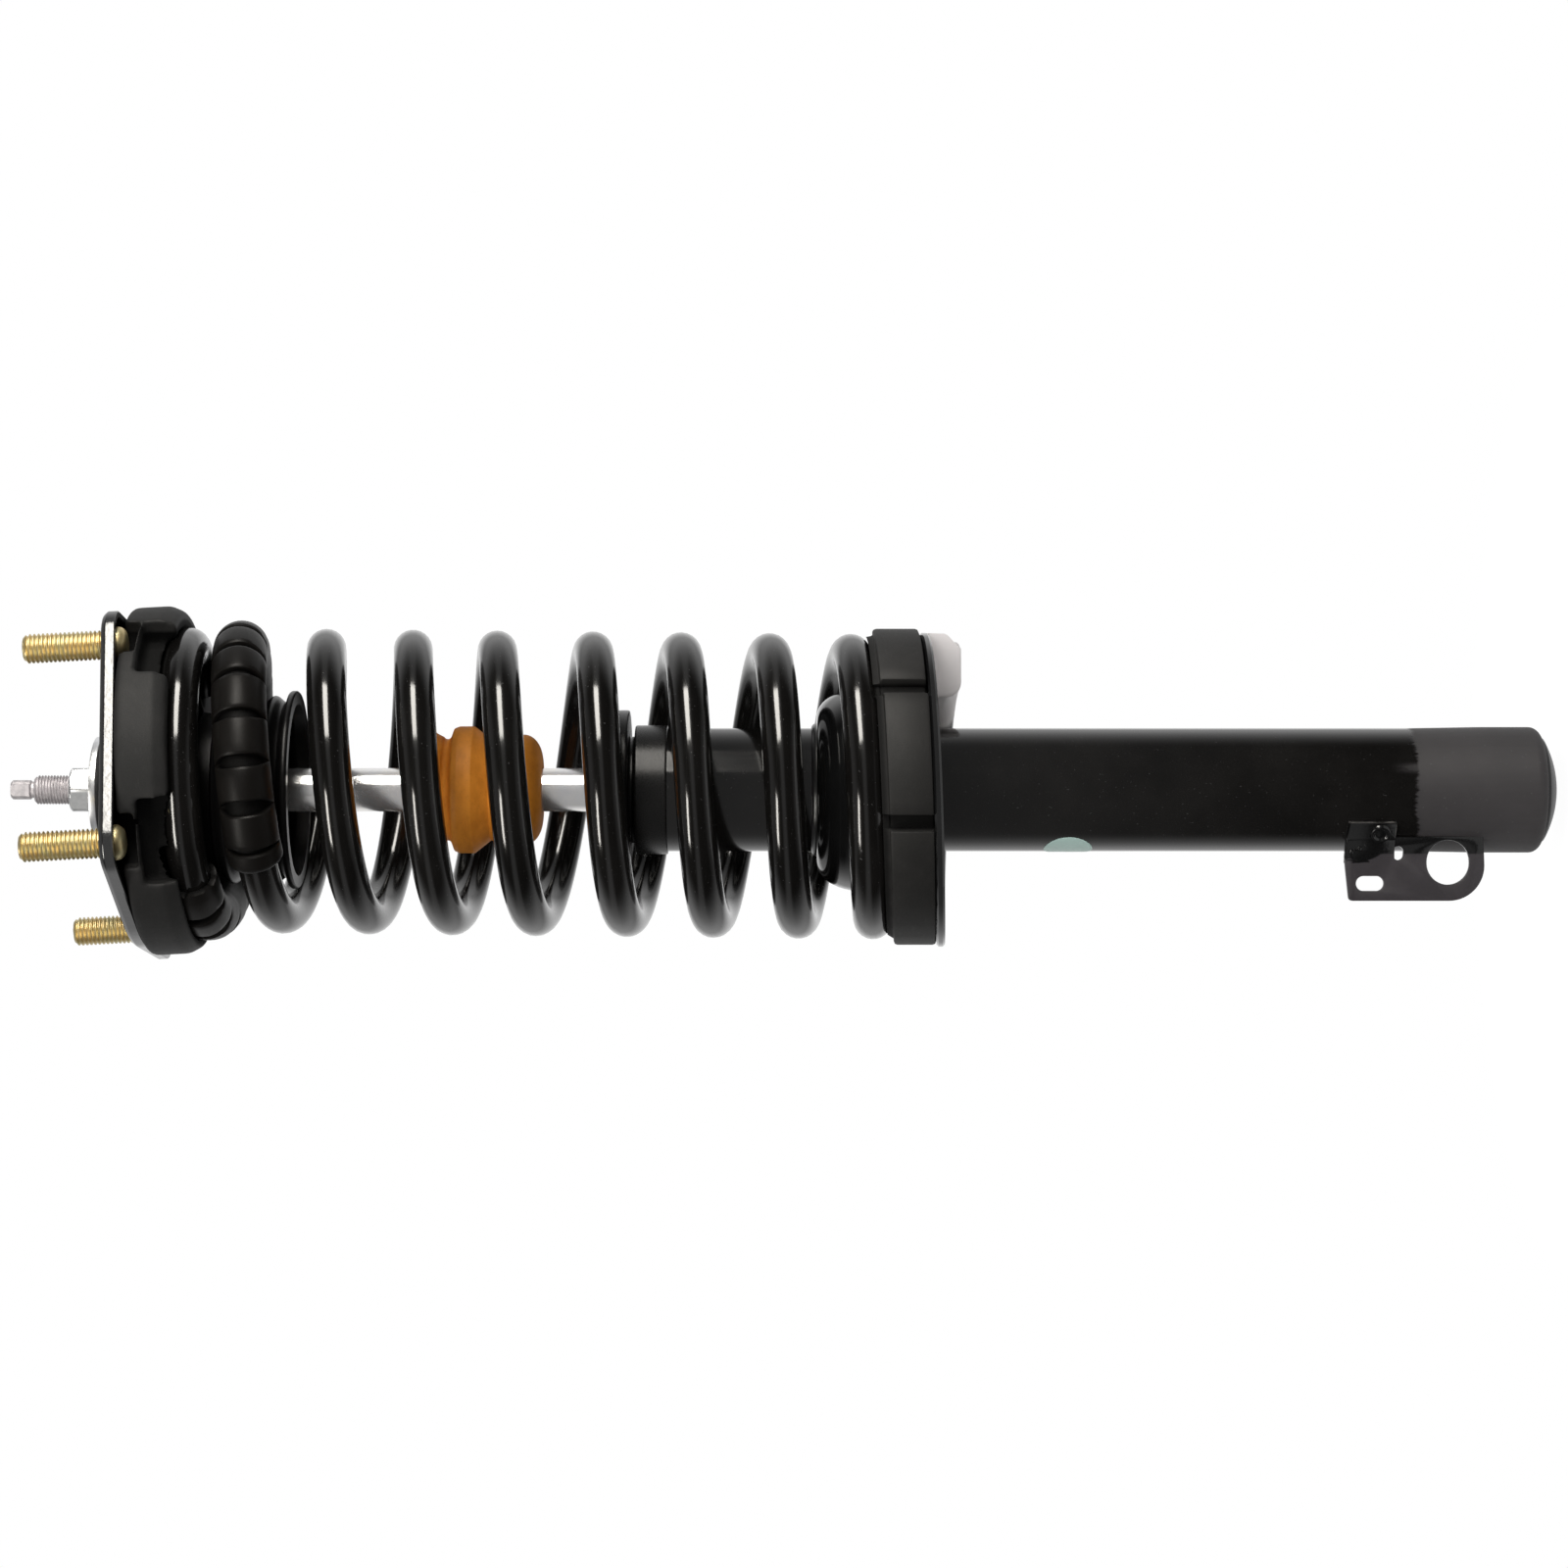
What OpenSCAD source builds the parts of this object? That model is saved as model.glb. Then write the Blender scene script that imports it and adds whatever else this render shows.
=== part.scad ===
// Suspension strut assembly: top mount, coil spring, bump stop and twin-tube damper.
//
// The strut axis is Z and +Z points at the top mount. The origin is on the axis, in the outer
// face of the mount plate. All sizes are millimetres, all angles are degrees. Azimuths are
// measured about Z from +X, and the locating bracket and the front of the strut face -Y.

/* [Mount plate and studs] */
// Thickness of the pressed mount plate
plate_t = 3; // [2:0.5:4]
// Depth of the turned-down rim, measured from the outer face
plate_rim_h = 6; // [5:0.5:9]
// Tilt of the mount plate about Y
plate_tilt = 3; // [0:0.5:4]
// Radius of the plate's round back
plate_back_r = 66; // [60:1:70]
// Radius of the plate's rounded corners, round each stud
plate_corner_r = 13.5; // [11:0.5:16]
// Diameter of the mounting studs
stud_d = 12; // [8:1:12]
// Length of the studs above the plate
stud_l = 33; // [20:1:45]
// Distance of the studs from the strut axis
stud_pitch_r = 70; // [66:1:75]
// Diameter of the stud heads under the plate
stud_head_d = 14.4; // [13:0.2:18]
// Height of the stud heads
stud_head_h = 7.8; // [4:0.2:8]

/* [Centre bushing] */
// Outer diameter of the bushing housing
housing_d = 57; // [50:1:58]
// Depth of the housing below the outer face of the plate
housing_h = 28; // [22:1:30]
// Outer diameter of the bushing's inner sleeve
sleeve_od = 22; // [18:1:26]
// Height of the inner sleeve above the plate
sleeve_top = 9; // [6:0.5:12]
// Diameter of the dished washer under the nut
washer_d = 44; // [36:1:52]
// Thickness of that washer
washer_t = 3; // [2:0.5:4]
// Height of the flange nut
nut_h = 12; // [10:0.5:14]
// Width across the flats of the flange nut
nut_flats = 18; // [17:0.5:19]
// Diameter of the nut's flange
nut_flange_d = 26; // [24:1:30]

/* [Upper isolator and boot] */
// Wall of the upper spring isolator outside the sleeved wire
upper_iso_wall = 5.8; // [4:0.2:8]
// Lip of the upper spring isolator inside the sleeved wire
upper_iso_lip = 2.2; // [1.6:0.2:3]
// Depth of the isolator's open face below the plate's outer face
upper_iso_h = 27; // [24:1:32]
// Sideways offset of the isolator from the strut axis
upper_iso_offset = 3; // [2:0.5:3.5]
// Width of the notches in the isolator, below each stud
iso_notch_w = 33; // [24:1:36]
// Length of the dust boot below the bumper cup
boot_l = 34; // [28:1:40]
// Gap between the dust boot and the spring
boot_gap = 2.2; // [1:0.2:4]
// Wall of the dust boot
boot_wall = 2; // [1.5:0.25:3]

/* [Piston rod and damper inside] */
// Diameter of the piston rod
rod_d = 18; // [16:0.5:19]
// Diameter of the thread at the top of the rod
rod_thread_d = 12; // [10:1:12]
// Height of the rod's tip above the plate
rod_top = 49; // [46:1:60]
// Diameter of the tip with two flats
rod_tip_d = 8; // [7:0.5:9]
// Distance from the outer face of the mount plate to the top of the damper tube
tube_top_depth = 211; // [205:1:220]
// Distance between the rod guide and the piston
piston_setback = 49; // [40:1:60]
// Thickness of the piston
piston_h = 18; // [14:1:22]
// Running fit of the rod and of the piston, on the radius
run_fit = 0.05; // [0.02:0.01:0.1]

/* [Damper tube] */
// Outer diameter of the damper tube
tube_d = 51; // [50:0.5:54]
// Wall of the damper tube
tube_wall = 2; // [1.5:0.25:3]
// Straight length of the damper tube, to the start of its rounded end
tube_l = 368; // [355:1:400]
// Height of the rounded end
tube_end_h = 4.5; // [3:0.5:6]
// Bore of the inner pressure tube
bore_d = 30; // [28:0.5:32]
// Wall of the inner pressure tube
pressure_wall = 2; // [1.5:0.25:2.5]
// Rise of the domed base cap
base_dome_h = 6; // [4:0.5:8]
// Diameter of the striker cap's disc
striker_d = 66; // [60:1:70]
// Height from the top of the damper tube to the top of the striker cap
striker_h = 8.6; // [8:0.2:12]

/* [Jounce bumper] */
// Depth of the bumper's top below the plate's outer face
bumper_top_depth = 114; // [110:1:118]
// Length of the bumper
bumper_l = 57; // [54:1:60]
// Diameter of the widest lobe
bumper_d = 52.6; // [50:0.2:53]

/* [Coil spring] */
// Diameter of the spring wire
wire_d = 16; // [12:0.5:16.2]
// Mean diameter of the coil
coil_d = 110.4; // [109:0.2:113]
// Turn count at which the wire meets its lower seat's step
coil_turns = 9; // [8:1:9]
// Rise of each working turn
active_pitch = 36.2; // [34:0.2:38]
// Gap between the closed turns at the two ends
coil_end_gap = 0.8; // [0.7:0.1:3]
// Sideways offset of the coil at its top
coil_offset_top = 4; // [2:0.5:4.5]
// Sideways offset of the coil at its bottom
coil_offset_low = 1.2; // [0:0.2:1.6]
// Wall of the segmented sleeve on the first turn
wire_sleeve_wall = 2.85; // [2.4:0.05:3]
// Number of segments of that sleeve
wire_sleeve_segments = 20; // [8:1:21]

/* [Lower spring seat] */
// How far the seat's flange reaches beyond the spring
seat_margin = 1.8; // [0:0.2:4]
// Thickness of the seat's sheet
seat_t = 3.5; // [2.5:0.5:4]
// Rise of the helical flange over one turn
seat_rise = 14.5; // [12:0.5:17]
// Gap between the seat's domed hub and the spring
hub_gap = 8.2; // [7.6:0.2:11]
// Height of the hub above the lowest point of the flange
hub_h = 57; // [52:1:60]
// How far the lower isolator reaches beyond the spring
lower_iso_margin = 2.3; // [1:0.1:4]
// Thickness of the lower isolator under the wire
lower_iso_t = 17; // [14:1:20]

/* [Locating bracket] */
// Thickness of the bracket's sheet
bracket_t = 3; // [2:0.5:4]
// Distance from the strut axis to the bracket's middle plane
bracket_plane = 16; // [15:0.5:17.5]
// Distance of the bracket's upper edge below the plate's outer face
bracket_top_depth = 501.5; // [498:0.5:506]
// Length of the bracket along the strut
bracket_l = 56.5; // [54:0.5:60]
// Reach of the bracket beyond the tube
bracket_out = 20; // [18:0.5:26]
// Radius of the large hole
hose_hole_r = 8.8; // [8:0.1:9]
// Length of the slot, end to end
slot_l = 12; // [10:0.5:14]
// Width of the slot
slot_w = 6; // [5:0.5:7]
// Radius of the bracket's large rounded corner
bracket_corner_r = 14.5; // [10:0.5:16]

/* [Hidden] */
$fn = 96;

// Colours
GLOSS_BLACK = [0.05, 0.05, 0.055];
SATIN_BLACK = [0.10, 0.10, 0.105];
RUBBER = [0.17, 0.17, 0.17];
ZINC_GOLD = [0.83, 0.72, 0.42];
STEEL = [0.62, 0.62, 0.64];
CHROME = [0.86, 0.87, 0.88];
OCHRE = [0.84, 0.57, 0.22];
MINT = [0.80, 0.94, 0.88];
BRONZE = [0.55, 0.42, 0.25];

// Clearances and small shared sizes
CUT = 1;             // how far a cutting shape runs past the face it cuts
LOOSE = 0.3;         // clearance between parts that must not touch
STUD_ANGLES = [-33, -107.5, 147];

// Top mount
stud_shoulder_r = stud_d / 2 + 0.4;         // the stud is pressed into the plate by this shoulder
plate_hole_r = housing_d / 2 - 1.5;
housing_wall = 2.5;
housing_r = housing_d / 2;
housing_bore_r = housing_r - housing_wall;
housing_flange_t = 2.5;
rubber_crown = 1.5;
sleeve_r = sleeve_od / 2;
thread_r = rod_thread_d / 2;
cup_t = 3;
cup_skirt = 8;
cup_r = housing_r + 1.5;
cup_top_z = -housing_h - 3;
shoulder_z = cup_top_z - cup_t;
washer_top_z = sleeve_top + washer_t;
nut_top_z = washer_top_z + nut_h;
tip_z = nut_top_z + 15;
head_pocket_r = stud_head_d / 2 + 4.5;
notch_top_z = -14;
coil_r = coil_d / 2;
wire_r = wire_d / 2;
wire_sleeve_gap = 0.15;
wire_sleeve_r = wire_r + wire_sleeve_gap + wire_sleeve_wall;
upper_iso_r = coil_r + wire_sleeve_r + upper_iso_wall;
upper_iso_bore_r = coil_r - wire_sleeve_r - upper_iso_lip;
housing_flange_r = upper_iso_bore_r - upper_iso_offset - 5 * LOOSE;
boot_lip = 2;
boot_r = coil_r - wire_r - coil_offset_top - boot_lip - boot_gap;
wire_lift = 2;                              // wire centre above the isolator's open face
coil_z0 = -upper_iso_h + wire_lift;         // wire centre at turn 0

// Damper
rod_r = rod_d / 2;
tube_r = tube_d / 2;
tube_bore_r = tube_r - tube_wall;
clamp_r = tube_r + 0.5;                     // sized band at the tube's lower end
clamp_l = 20;
tube_top_z = -tube_top_depth;
tube_end_z = tube_top_z - tube_l;
base_z = tube_end_z - tube_end_h;
lip_t = 2.2;
seal_top_z = tube_top_z - lip_t;
seal_h = 4.5;
guide_top_z = seal_top_z - seal_h;
guide_h = 12;
spigot_h = 6;
guide_low_z = guide_top_z - guide_h - spigot_h;
bore_r = bore_d / 2;
pressure_r = bore_r + pressure_wall;
pressure_top_z = guide_top_z - guide_h;
cap_t = 7;
cap_r = clamp_r - tube_end_h * 0.72 - 0.8;
valve_flange_h = 7;
valve_spigot_h = 8;
valve_low_z = base_z + cap_t;
pressure_low_z = valve_low_z + valve_flange_h;
rebound_h = 5.5;
stop_h = 2.5;
disc_t = 2;
piston_top_z = guide_low_z - piston_setback;
piston_low_z = piston_top_z - piston_h;
shank_r = 5.5;
piston_nut_h = 7;
rod_low_z = piston_low_z - disc_t - piston_nut_h - 1;
piston_r = bore_r - 0.4;
band_h = 8;
band_t = 1;
port_r = 1.5;
port_pitch_r = 8.6;

// Helix of the coil spring. Turn 0 lies at azimuth 0; turns run down, from +X over -Y.
RINGS_PER_TURN = 24;
WIRE_SIDES = 8;
coil_start = -0.12;
coil_end = coil_turns - 0.035;
top_ramp = [0.4, 1.15];                              // closed turn opens to the working pitch
low_ramp = [coil_turns - 1.25, coil_turns - 0.75];   // working pitch closes again
circumference = PI * coil_d;
end_pitch = wire_d + coil_end_gap;
sleeve_from = 0.345;
sleeve_to = 1.335;
slit_w = 1.6;
slit_depth = 2;
CHANNEL_STEP = 1 / 16;                               // turn covered by one step of the channel
CHANNEL_LAP = 2;                                     // overlap of two steps, in degrees
CHANNEL_STAGGER = 0.25;                              // every other step is this much wider
CHANNEL_LOOSE = 2 * LOOSE;

function ramp_drop(n, a, b, p, q) = p * (n - a) + (q - p) * (n - a) ^ 2 / (2 * (b - a));
drop_1 = end_pitch * top_ramp[0];
drop_2 = drop_1 + ramp_drop(top_ramp[1], top_ramp[0], top_ramp[1], end_pitch, active_pitch);
drop_3 = drop_2 + active_pitch * (low_ramp[0] - top_ramp[1]);
drop_4 = drop_3 + ramp_drop(low_ramp[1], low_ramp[0], low_ramp[1], active_pitch, end_pitch);
// Fall of the wire's centre below turn 0, after n turns
function drop(n) =
    n <= top_ramp[0] ? end_pitch * n
    : n <= top_ramp[1] ? drop_1 + ramp_drop(n, top_ramp[0], top_ramp[1], end_pitch, active_pitch)
    : n <= low_ramp[0] ? drop_2 + active_pitch * (n - top_ramp[1])
    : n <= low_ramp[1] ? drop_3 + ramp_drop(n, low_ramp[0], low_ramp[1], active_pitch, end_pitch)
    : drop_4 + end_pitch * (n - low_ramp[1]);
coil_drop = drop(coil_turns);
coil_low_z = coil_z0 - coil_drop;
function coil_axis_x(n) =
    coil_offset_top + (coil_offset_low - coil_offset_top) * drop(n) / coil_drop;
function slope(n) = (drop(n + 0.01) - drop(n - 0.01)) / (0.02 * circumference);
function radial(n) = [cos(-360 * n), sin(-360 * n), 0];
function helix(n) = [coil_axis_x(n), 0, coil_z0 - drop(n)] + coil_r * radial(n);
// Height of the wire's centre and of the helix's axis, measured in the tilted plate
function plate_height(n) = helix(n)[2] * cos(plate_tilt) - helix(n)[0] * sin(plate_tilt);
channel_x = coil_offset_top * cos(plate_tilt) + coil_z0 * sin(plate_tilt);
function upward(n) =
    let (s = slope(n), e = radial(n)) [s * e[1], -s * e[0], 1] / sqrt(1 + s * s);
function at_ring(n, r, a) = helix(n) + r * cos(a) * radial(n) + r * sin(a) * upward(n);
// A point on the wire: between two rings it lies on the straight line that joins them
function on_wire(n, r, a) =
    let (k = floor(n * RINGS_PER_TURN), f = n * RINGS_PER_TURN - k)
    (1 - f) * at_ring(k / RINGS_PER_TURN, r, a) + f * at_ring((k + 1) / RINGS_PER_TURN, r, a);
// Turn counts from a to b: both ends and every ring between them that isn't too close to one
function rings(a, b, per_turn = RINGS_PER_TURN, clear = 0.05) = concat(
    [a],
    [for (k = [ceil(a * per_turn + clear) : floor(b * per_turn - clear)]) k / per_turn],
    [b]
);
// Stations [turn, radius] with every ring of the wire added between them
function with_rings(stations) = concat(
    [for (i = [0 : len(stations) - 2])
        let (p = stations[i], q = stations[i + 1])
            each [for (n = rings(p[0], q[0], clear = 0.004)) if (n < q[0])
                [n, p[1] + (q[1] - p[1]) * (n - p[0]) / (q[0] - p[0])]]],
    [stations[len(stations) - 1]]
);
function round_section(n, r) =
    [for (i = [0 : WIRE_SIDES - 1]) on_wire(n, r, (i + 0.5) * 360 / WIRE_SIDES)];

// Least gap of the wire to itself, and of the sleeved turn to its neighbours
function least_gap(a, b, c, d, width) = min([
    for (i = [ceil(a * RINGS_PER_TURN) : floor(b * RINGS_PER_TURN)])
        for (j = [max(i + 16, ceil(c * RINGS_PER_TURN)) : min(i + 32, floor(d * RINGS_PER_TURN))])
            norm(helix(i / RINGS_PER_TURN) - helix(j / RINGS_PER_TURN))
]) - width;
echo(least_gap_of_wire = least_gap(coil_start, coil_end, coil_start, coil_end, wire_d));
echo(least_gap_of_sleeve = least_gap(coil_start, sleeve_from, sleeve_from, sleeve_to,
    wire_sleeve_r + wire_r));
echo(least_gap_below_sleeve = least_gap(sleeve_from, sleeve_to, sleeve_to, sleeve_to + 1,
    wire_sleeve_r + wire_r));
echo(least_gap_between_sleeve_ends = least_gap(sleeve_from, sleeve_to, sleeve_from, sleeve_to,
    2 * wire_sleeve_r));

// Lower seat and isolator
FLANGE_RINGS = 48;
hub_r = coil_r - wire_r - hub_gap;
hub_skirt_r = hub_r + 1;
seat_r = coil_r + wire_r + seat_margin;
hub_top_r = tube_r + 2.5;
hub_fit = 0.1;
iso_nest = 2;                                        // how deep the wire lies in the isolator
seat_low_z = coil_low_z - wire_r - lower_iso_t;
seat_from = coil_turns - 1;
seat_to = coil_turns;
hub_top_z = seat_low_z + hub_h;
hub_join_z = seat_low_z + seat_rise + 10;
lower_iso_bore_r = hub_skirt_r + 2.5;
lower_iso_r = coil_r + wire_r + lower_iso_margin;
step_half_gap = 4.6;                                 // the isolator's end stays this far from the step
iso_fit = 0.1;                                       // the isolator lies this far above the flange
iso_notches = 7;
iso_notch_depth = 4;
iso_notch_gap = 3.5;
weld_leg = 2.4;
function seat_z(n) = seat_low_z + seat_rise * (seat_to - n);
function closed_wire_z(n) = coil_low_z + end_pitch * (seat_to - n);

// Bracket
bracket_top_z = -bracket_top_depth;
bracket_low_z = bracket_top_z - bracket_l;
ear_t = 2.4;
ear_l = 20;
bracket_reach = tube_r + bracket_out;
ear_from = asin(bracket_plane / tube_r) - 188;
ear_to = ear_from + 33;
hose_hole_at = [-tube_r - 5.2, bracket_top_z - 41.6];
slot_at = [-tube_r - 12.9, bracket_top_z - 10.3];
key_hole_at = [-tube_r - 0.9, bracket_top_z - 21.2];
key_hole_w = 4;
key_hole_l = 6.4;
edge_r = 2;

// Label
label_r = 10;
label_t = 0.2;
label_z = -388;
label_angle = -162;

// ------------------------------------------------------------------ shapes

function arc(centre, r, from, to, steps = 8) =
    [for (i = [0 : steps]) centre + r * [cos(from + (to - from) * i / steps),
                                         sin(from + (to - from) * i / steps)]];

module lathe(outline) {
    rotate_extrude()
        polygon(outline);
}

module ring(r_out, r_in, z_top, z_low) {
    translate([0, 0, z_low])
        difference() {
            cylinder(h = z_top - z_low, r = r_out);
            translate([0, 0, -CUT])
                cylinder(h = z_top - z_low + 2 * CUT, r = r_in);
        }
}

module in_plate() {
    rotate([0, -plate_tilt, 0])
        children();
}

module at_studs() {
    for (a = STUD_ANGLES)
        rotate([0, 0, a])
            translate([stud_pitch_r, 0, 0])
                children();
}

// Side faces between rings of s points, for m rings; first is the index of ring 0
function side_faces(m, s, first = 0, flip = false) = [
    for (i = [0 : m - 2])
        for (j = [0 : s - 1])
            let (
                a = first + i * s + j,
                b = first + i * s + (j + 1) % s,
                faces = [[a, b + s, b], [a, a + s, b + s]]
            )
            for (f = faces) flip ? [f[2], f[1], f[0]] : f
];
function end_faces(s, first, flip = false) =
    [for (j = [1 : s - 2]) flip ? [first, first + j + 1, first + j] : [first, first + j, first + j + 1]];
function joined(lists) = [for (l = lists) for (p = l) p];

// A closed solid skinned over a list of sections
module skin(sections) {
    m = len(sections);
    s = len(sections[0]);
    polyhedron(
        points = joined(sections),
        faces = concat(side_faces(m, s), end_faces(s, 0), end_faces(s, (m - 1) * s, true))
    );
}

// A tube skinned over outer and inner sections
module pipe_skin(outer, inner) {
    m = len(outer);
    s = len(outer[0]);
    o_end = (m - 1) * s;
    i_first = m * s;
    i_end = i_first + o_end;
    polyhedron(
        points = concat(joined(outer), joined(inner)),
        faces = concat(
            side_faces(m, s),
            side_faces(m, s, i_first, true),
            [for (j = [0 : s - 1]) let (k = (j + 1) % s) each
                [[j, i_first + k, i_first + j], [j, k, i_first + k]]],
            [for (j = [0 : s - 1]) let (k = (j + 1) % s) each
                [[o_end + j, i_end + j, i_end + k], [o_end + j, i_end + k, o_end + k]]]
        )
    );
}

// ------------------------------------------------------------------ top mount

module plate_outline(inset = 0) {
    hull() {
        circle(r = plate_back_r - inset);
        at_studs()
            circle(r = plate_corner_r - inset);
    }
}

module mount_plate() {
    color(GLOSS_BLACK)
        in_plate()
            difference() {
                translate([0, 0, -plate_rim_h])
                    linear_extrude(plate_rim_h)
                        plate_outline();
                translate([0, 0, -plate_rim_h - CUT])
                    linear_extrude(plate_rim_h - plate_t + CUT)
                        plate_outline(plate_t);
                translate([0, 0, -plate_rim_h])
                    cylinder(h = plate_rim_h + CUT, r = plate_hole_r);
                at_studs()
                    translate([0, 0, -plate_rim_h])
                        cylinder(h = plate_rim_h + CUT, r = stud_shoulder_r);
            }
}

module mount_studs() {
    tip = 1.2;
    color(ZINC_GOLD)
        in_plate()
            at_studs()
                lathe(concat(
                    [[0, stud_l], [stud_d / 2 - tip, stud_l], [stud_d / 2, stud_l - tip],
                     [stud_d / 2, 0], [stud_shoulder_r, 0],
                     [stud_shoulder_r, -plate_t], [stud_head_d / 2, -plate_t],
                     [stud_head_d / 2, -plate_t - stud_head_h + 3]],
                    arc([stud_head_d / 2 - 3, -plate_t - stud_head_h + 3], 3, 0, -90),
                    [[0, -plate_t - stud_head_h]]
                ));
}

module bushing_housing() {
    color(SATIN_BLACK)
        in_plate() {
            ring(housing_r, housing_bore_r, -plate_t, -housing_h);
            ring(housing_flange_r, housing_bore_r, -plate_t, -plate_t - housing_flange_t);
        }
}

module bushing_rubber() {
    top = sleeve_top - 1;
    color(RUBBER)
        difference() {
            in_plate()
                lathe(concat(
                    [[0, top], [sleeve_r + 5, top]],
                    arc([sleeve_r + 5, top - 5], 5, 90, 20),
                    [[housing_bore_r - rubber_crown, -plate_t + 1], [housing_bore_r, -plate_t - 1],
                     [housing_bore_r, -housing_h + 1], [0, -housing_h + 1]]
                ));
            translate([0, 0, -housing_h - CUT])
                cylinder(h = housing_h + sleeve_top + 4 * CUT, r = sleeve_r);
        }
}

module bushing_sleeve() {
    color(STEEL)
        ring(sleeve_r, thread_r + 0.1, sleeve_top, cup_top_z);
}

module upper_washer() {
    color(STEEL)
        lathe([
            [thread_r + LOOSE, sleeve_top], [thread_r + LOOSE, washer_top_z],
            [washer_d / 2 - 5, washer_top_z], [washer_d / 2, washer_top_z + 1.5],
            [washer_d / 2, washer_top_z + 1.5 - washer_t], [washer_d / 2 - 5, sleeve_top]
        ]);
}

module rod_nut() {
    flange_t = 2.5;
    color(STEEL)
        difference() {
            union() {
                lathe([
                    [0, washer_top_z], [nut_flange_d / 2, washer_top_z],
                    [nut_flange_d / 2, washer_top_z + flange_t],
                    [nut_flats / 2, washer_top_z + flange_t + 2], [0, washer_top_z + flange_t + 2]
                ]);
                intersection() {
                    translate([0, 0, washer_top_z])
                        cylinder(h = nut_h, r = nut_flats / sqrt(3), $fn = 6);
                    lathe([
                        [0, washer_top_z], [nut_flats / sqrt(3) + 1, washer_top_z],
                        [nut_flats / sqrt(3) + 1, nut_top_z - 1.7], [nut_flats / 2 - 0.4, nut_top_z],
                        [0, nut_top_z]
                    ]);
                }
            }
            translate([0, 0, washer_top_z - CUT])
                cylinder(h = nut_h + 2 * CUT, r = thread_r);
        }
}

// The stepped channel that the first turn of the wire lies in, open downwards. It is drawn in
// the plate's frame, so that its walls stand square on the isolator's open face. Every other
// step is a little wider, so that no two steps share a wall.
module wire_channel(from, steps, r_least) {
    for (k = [0 : steps - 1]) {
        n = from + k * CHANNEL_STEP;
        r = r_least + (k % 2) * CHANNEL_STAGGER;
        translate([channel_x, 0, max(plate_height(n), plate_height(n + CHANNEL_STEP)) - 2 * wire_d])
            rotate([0, 0, -360 * (n + CHANNEL_STEP)])
                rotate_extrude(angle = 360 * CHANNEL_STEP + CHANNEL_LAP)
                    translate([coil_r - r, 0])
                        square([2 * r, 2 * wire_d + r]);
    }
}

module upper_isolator() {
    edge = 3.5;
    r = upper_iso_r;
    pad_r = plate_back_r - plate_t - 3;
    color(RUBBER)
        in_plate()
            difference() {
                translate([upper_iso_offset, 0, 0])
                    union() {
                        lathe(concat(
                            [[upper_iso_bore_r, -plate_rim_h - LOOSE],
                             [upper_iso_bore_r, -upper_iso_h],
                             [r - edge, -upper_iso_h]],
                            arc([r - edge, -upper_iso_h + edge], edge, -90, 0),
                            [[r, -plate_rim_h - LOOSE]]
                        ));
                        ring(pad_r - upper_iso_offset, upper_iso_bore_r, -plate_t,
                            -plate_rim_h - CUT);
                    }
                at_studs()
                    translate([0, 0, -plate_t - stud_head_h - 1.5])
                        cylinder(h = stud_head_h + 1.5 + CUT, r = head_pocket_r);
                for (a = STUD_ANGLES)
                    rotate([0, 0, a])
                        translate([pad_r + 3, -iso_notch_w / 2, -upper_iso_h - CUT])
                            cube([r, iso_notch_w, upper_iso_h + notch_top_z + CUT]);
                wire_channel(coil_start - 0.01, 9, wire_r + CHANNEL_LOOSE);
                wire_channel(sleeve_from - LOOSE / circumference, 7, wire_sleeve_r + CHANNEL_LOOSE);
            }
}

module bumper_cup() {
    color(SATIN_BLACK)
        lathe([
            [thread_r + 0.1, cup_top_z], [cup_r, cup_top_z], [cup_r, cup_top_z - cup_skirt],
            [cup_r - 2, cup_top_z - cup_skirt], [cup_r - 2, shoulder_z], [thread_r + 0.1, shoulder_z]
        ]);
}

module dust_boot() {
    r = boot_r;
    fold = 2.6;
    folds = 3;
    neck = 8;
    z0 = cup_top_z - neck;
    pitch = (boot_l - neck) / folds;
    outer = [for (i = [0 : folds - 1]) each [
        [r - fold, z0 - pitch * i], [r, z0 - pitch * (i + 0.35)], [r, z0 - pitch * (i + 0.65)]]];
    inner = [for (p = outer) p - [boot_wall, 0]];
    low_z = z0 - pitch * folds;
    color(SATIN_BLACK) {
        lathe(concat(
            [[cup_r, cup_top_z], [cup_r + boot_wall, cup_top_z], [cup_r + boot_wall, z0 + 2]],
            outer,
            [[r - fold / 2, low_z], [r - fold / 2, low_z - 2],
             [r + boot_lip, low_z - 2], [r + boot_lip, low_z - 5],
             [r - fold / 2 - boot_wall, low_z - 5]],
            [for (i = [len(inner) - 1 : -1 : 0]) inner[i]],
            [[cup_r, z0 + 1]]
        ));
    }
}

// ------------------------------------------------------------------ piston rod

module piston_rod() {
    neck_r = rod_tip_d / 2 - 0.6;
    flats = rod_tip_d - 2;
    color(CHROME)
        difference() {
            lathe([
                [0, rod_top], [rod_tip_d / 2 - 0.8, rod_top], [rod_tip_d / 2, rod_top - 0.8],
                [rod_tip_d / 2, tip_z + 2], [neck_r, tip_z + 1.5], [neck_r, tip_z],
                [thread_r - 1, tip_z], [thread_r, tip_z - 1], [thread_r, shoulder_z],
                [rod_r - 0.5, shoulder_z], [rod_r, shoulder_z - 0.5],
                [rod_r, piston_top_z + disc_t], [shank_r, piston_top_z + disc_t],
                [shank_r, rod_low_z + 0.8], [shank_r - 0.8, rod_low_z], [0, rod_low_z]
            ]);
            for (side = [0, 180])
                rotate([0, 0, side])
                    translate([-rod_tip_d, flats / 2, tip_z + 2])
                        cube([2 * rod_tip_d, rod_tip_d, rod_top]);
        }
}

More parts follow.
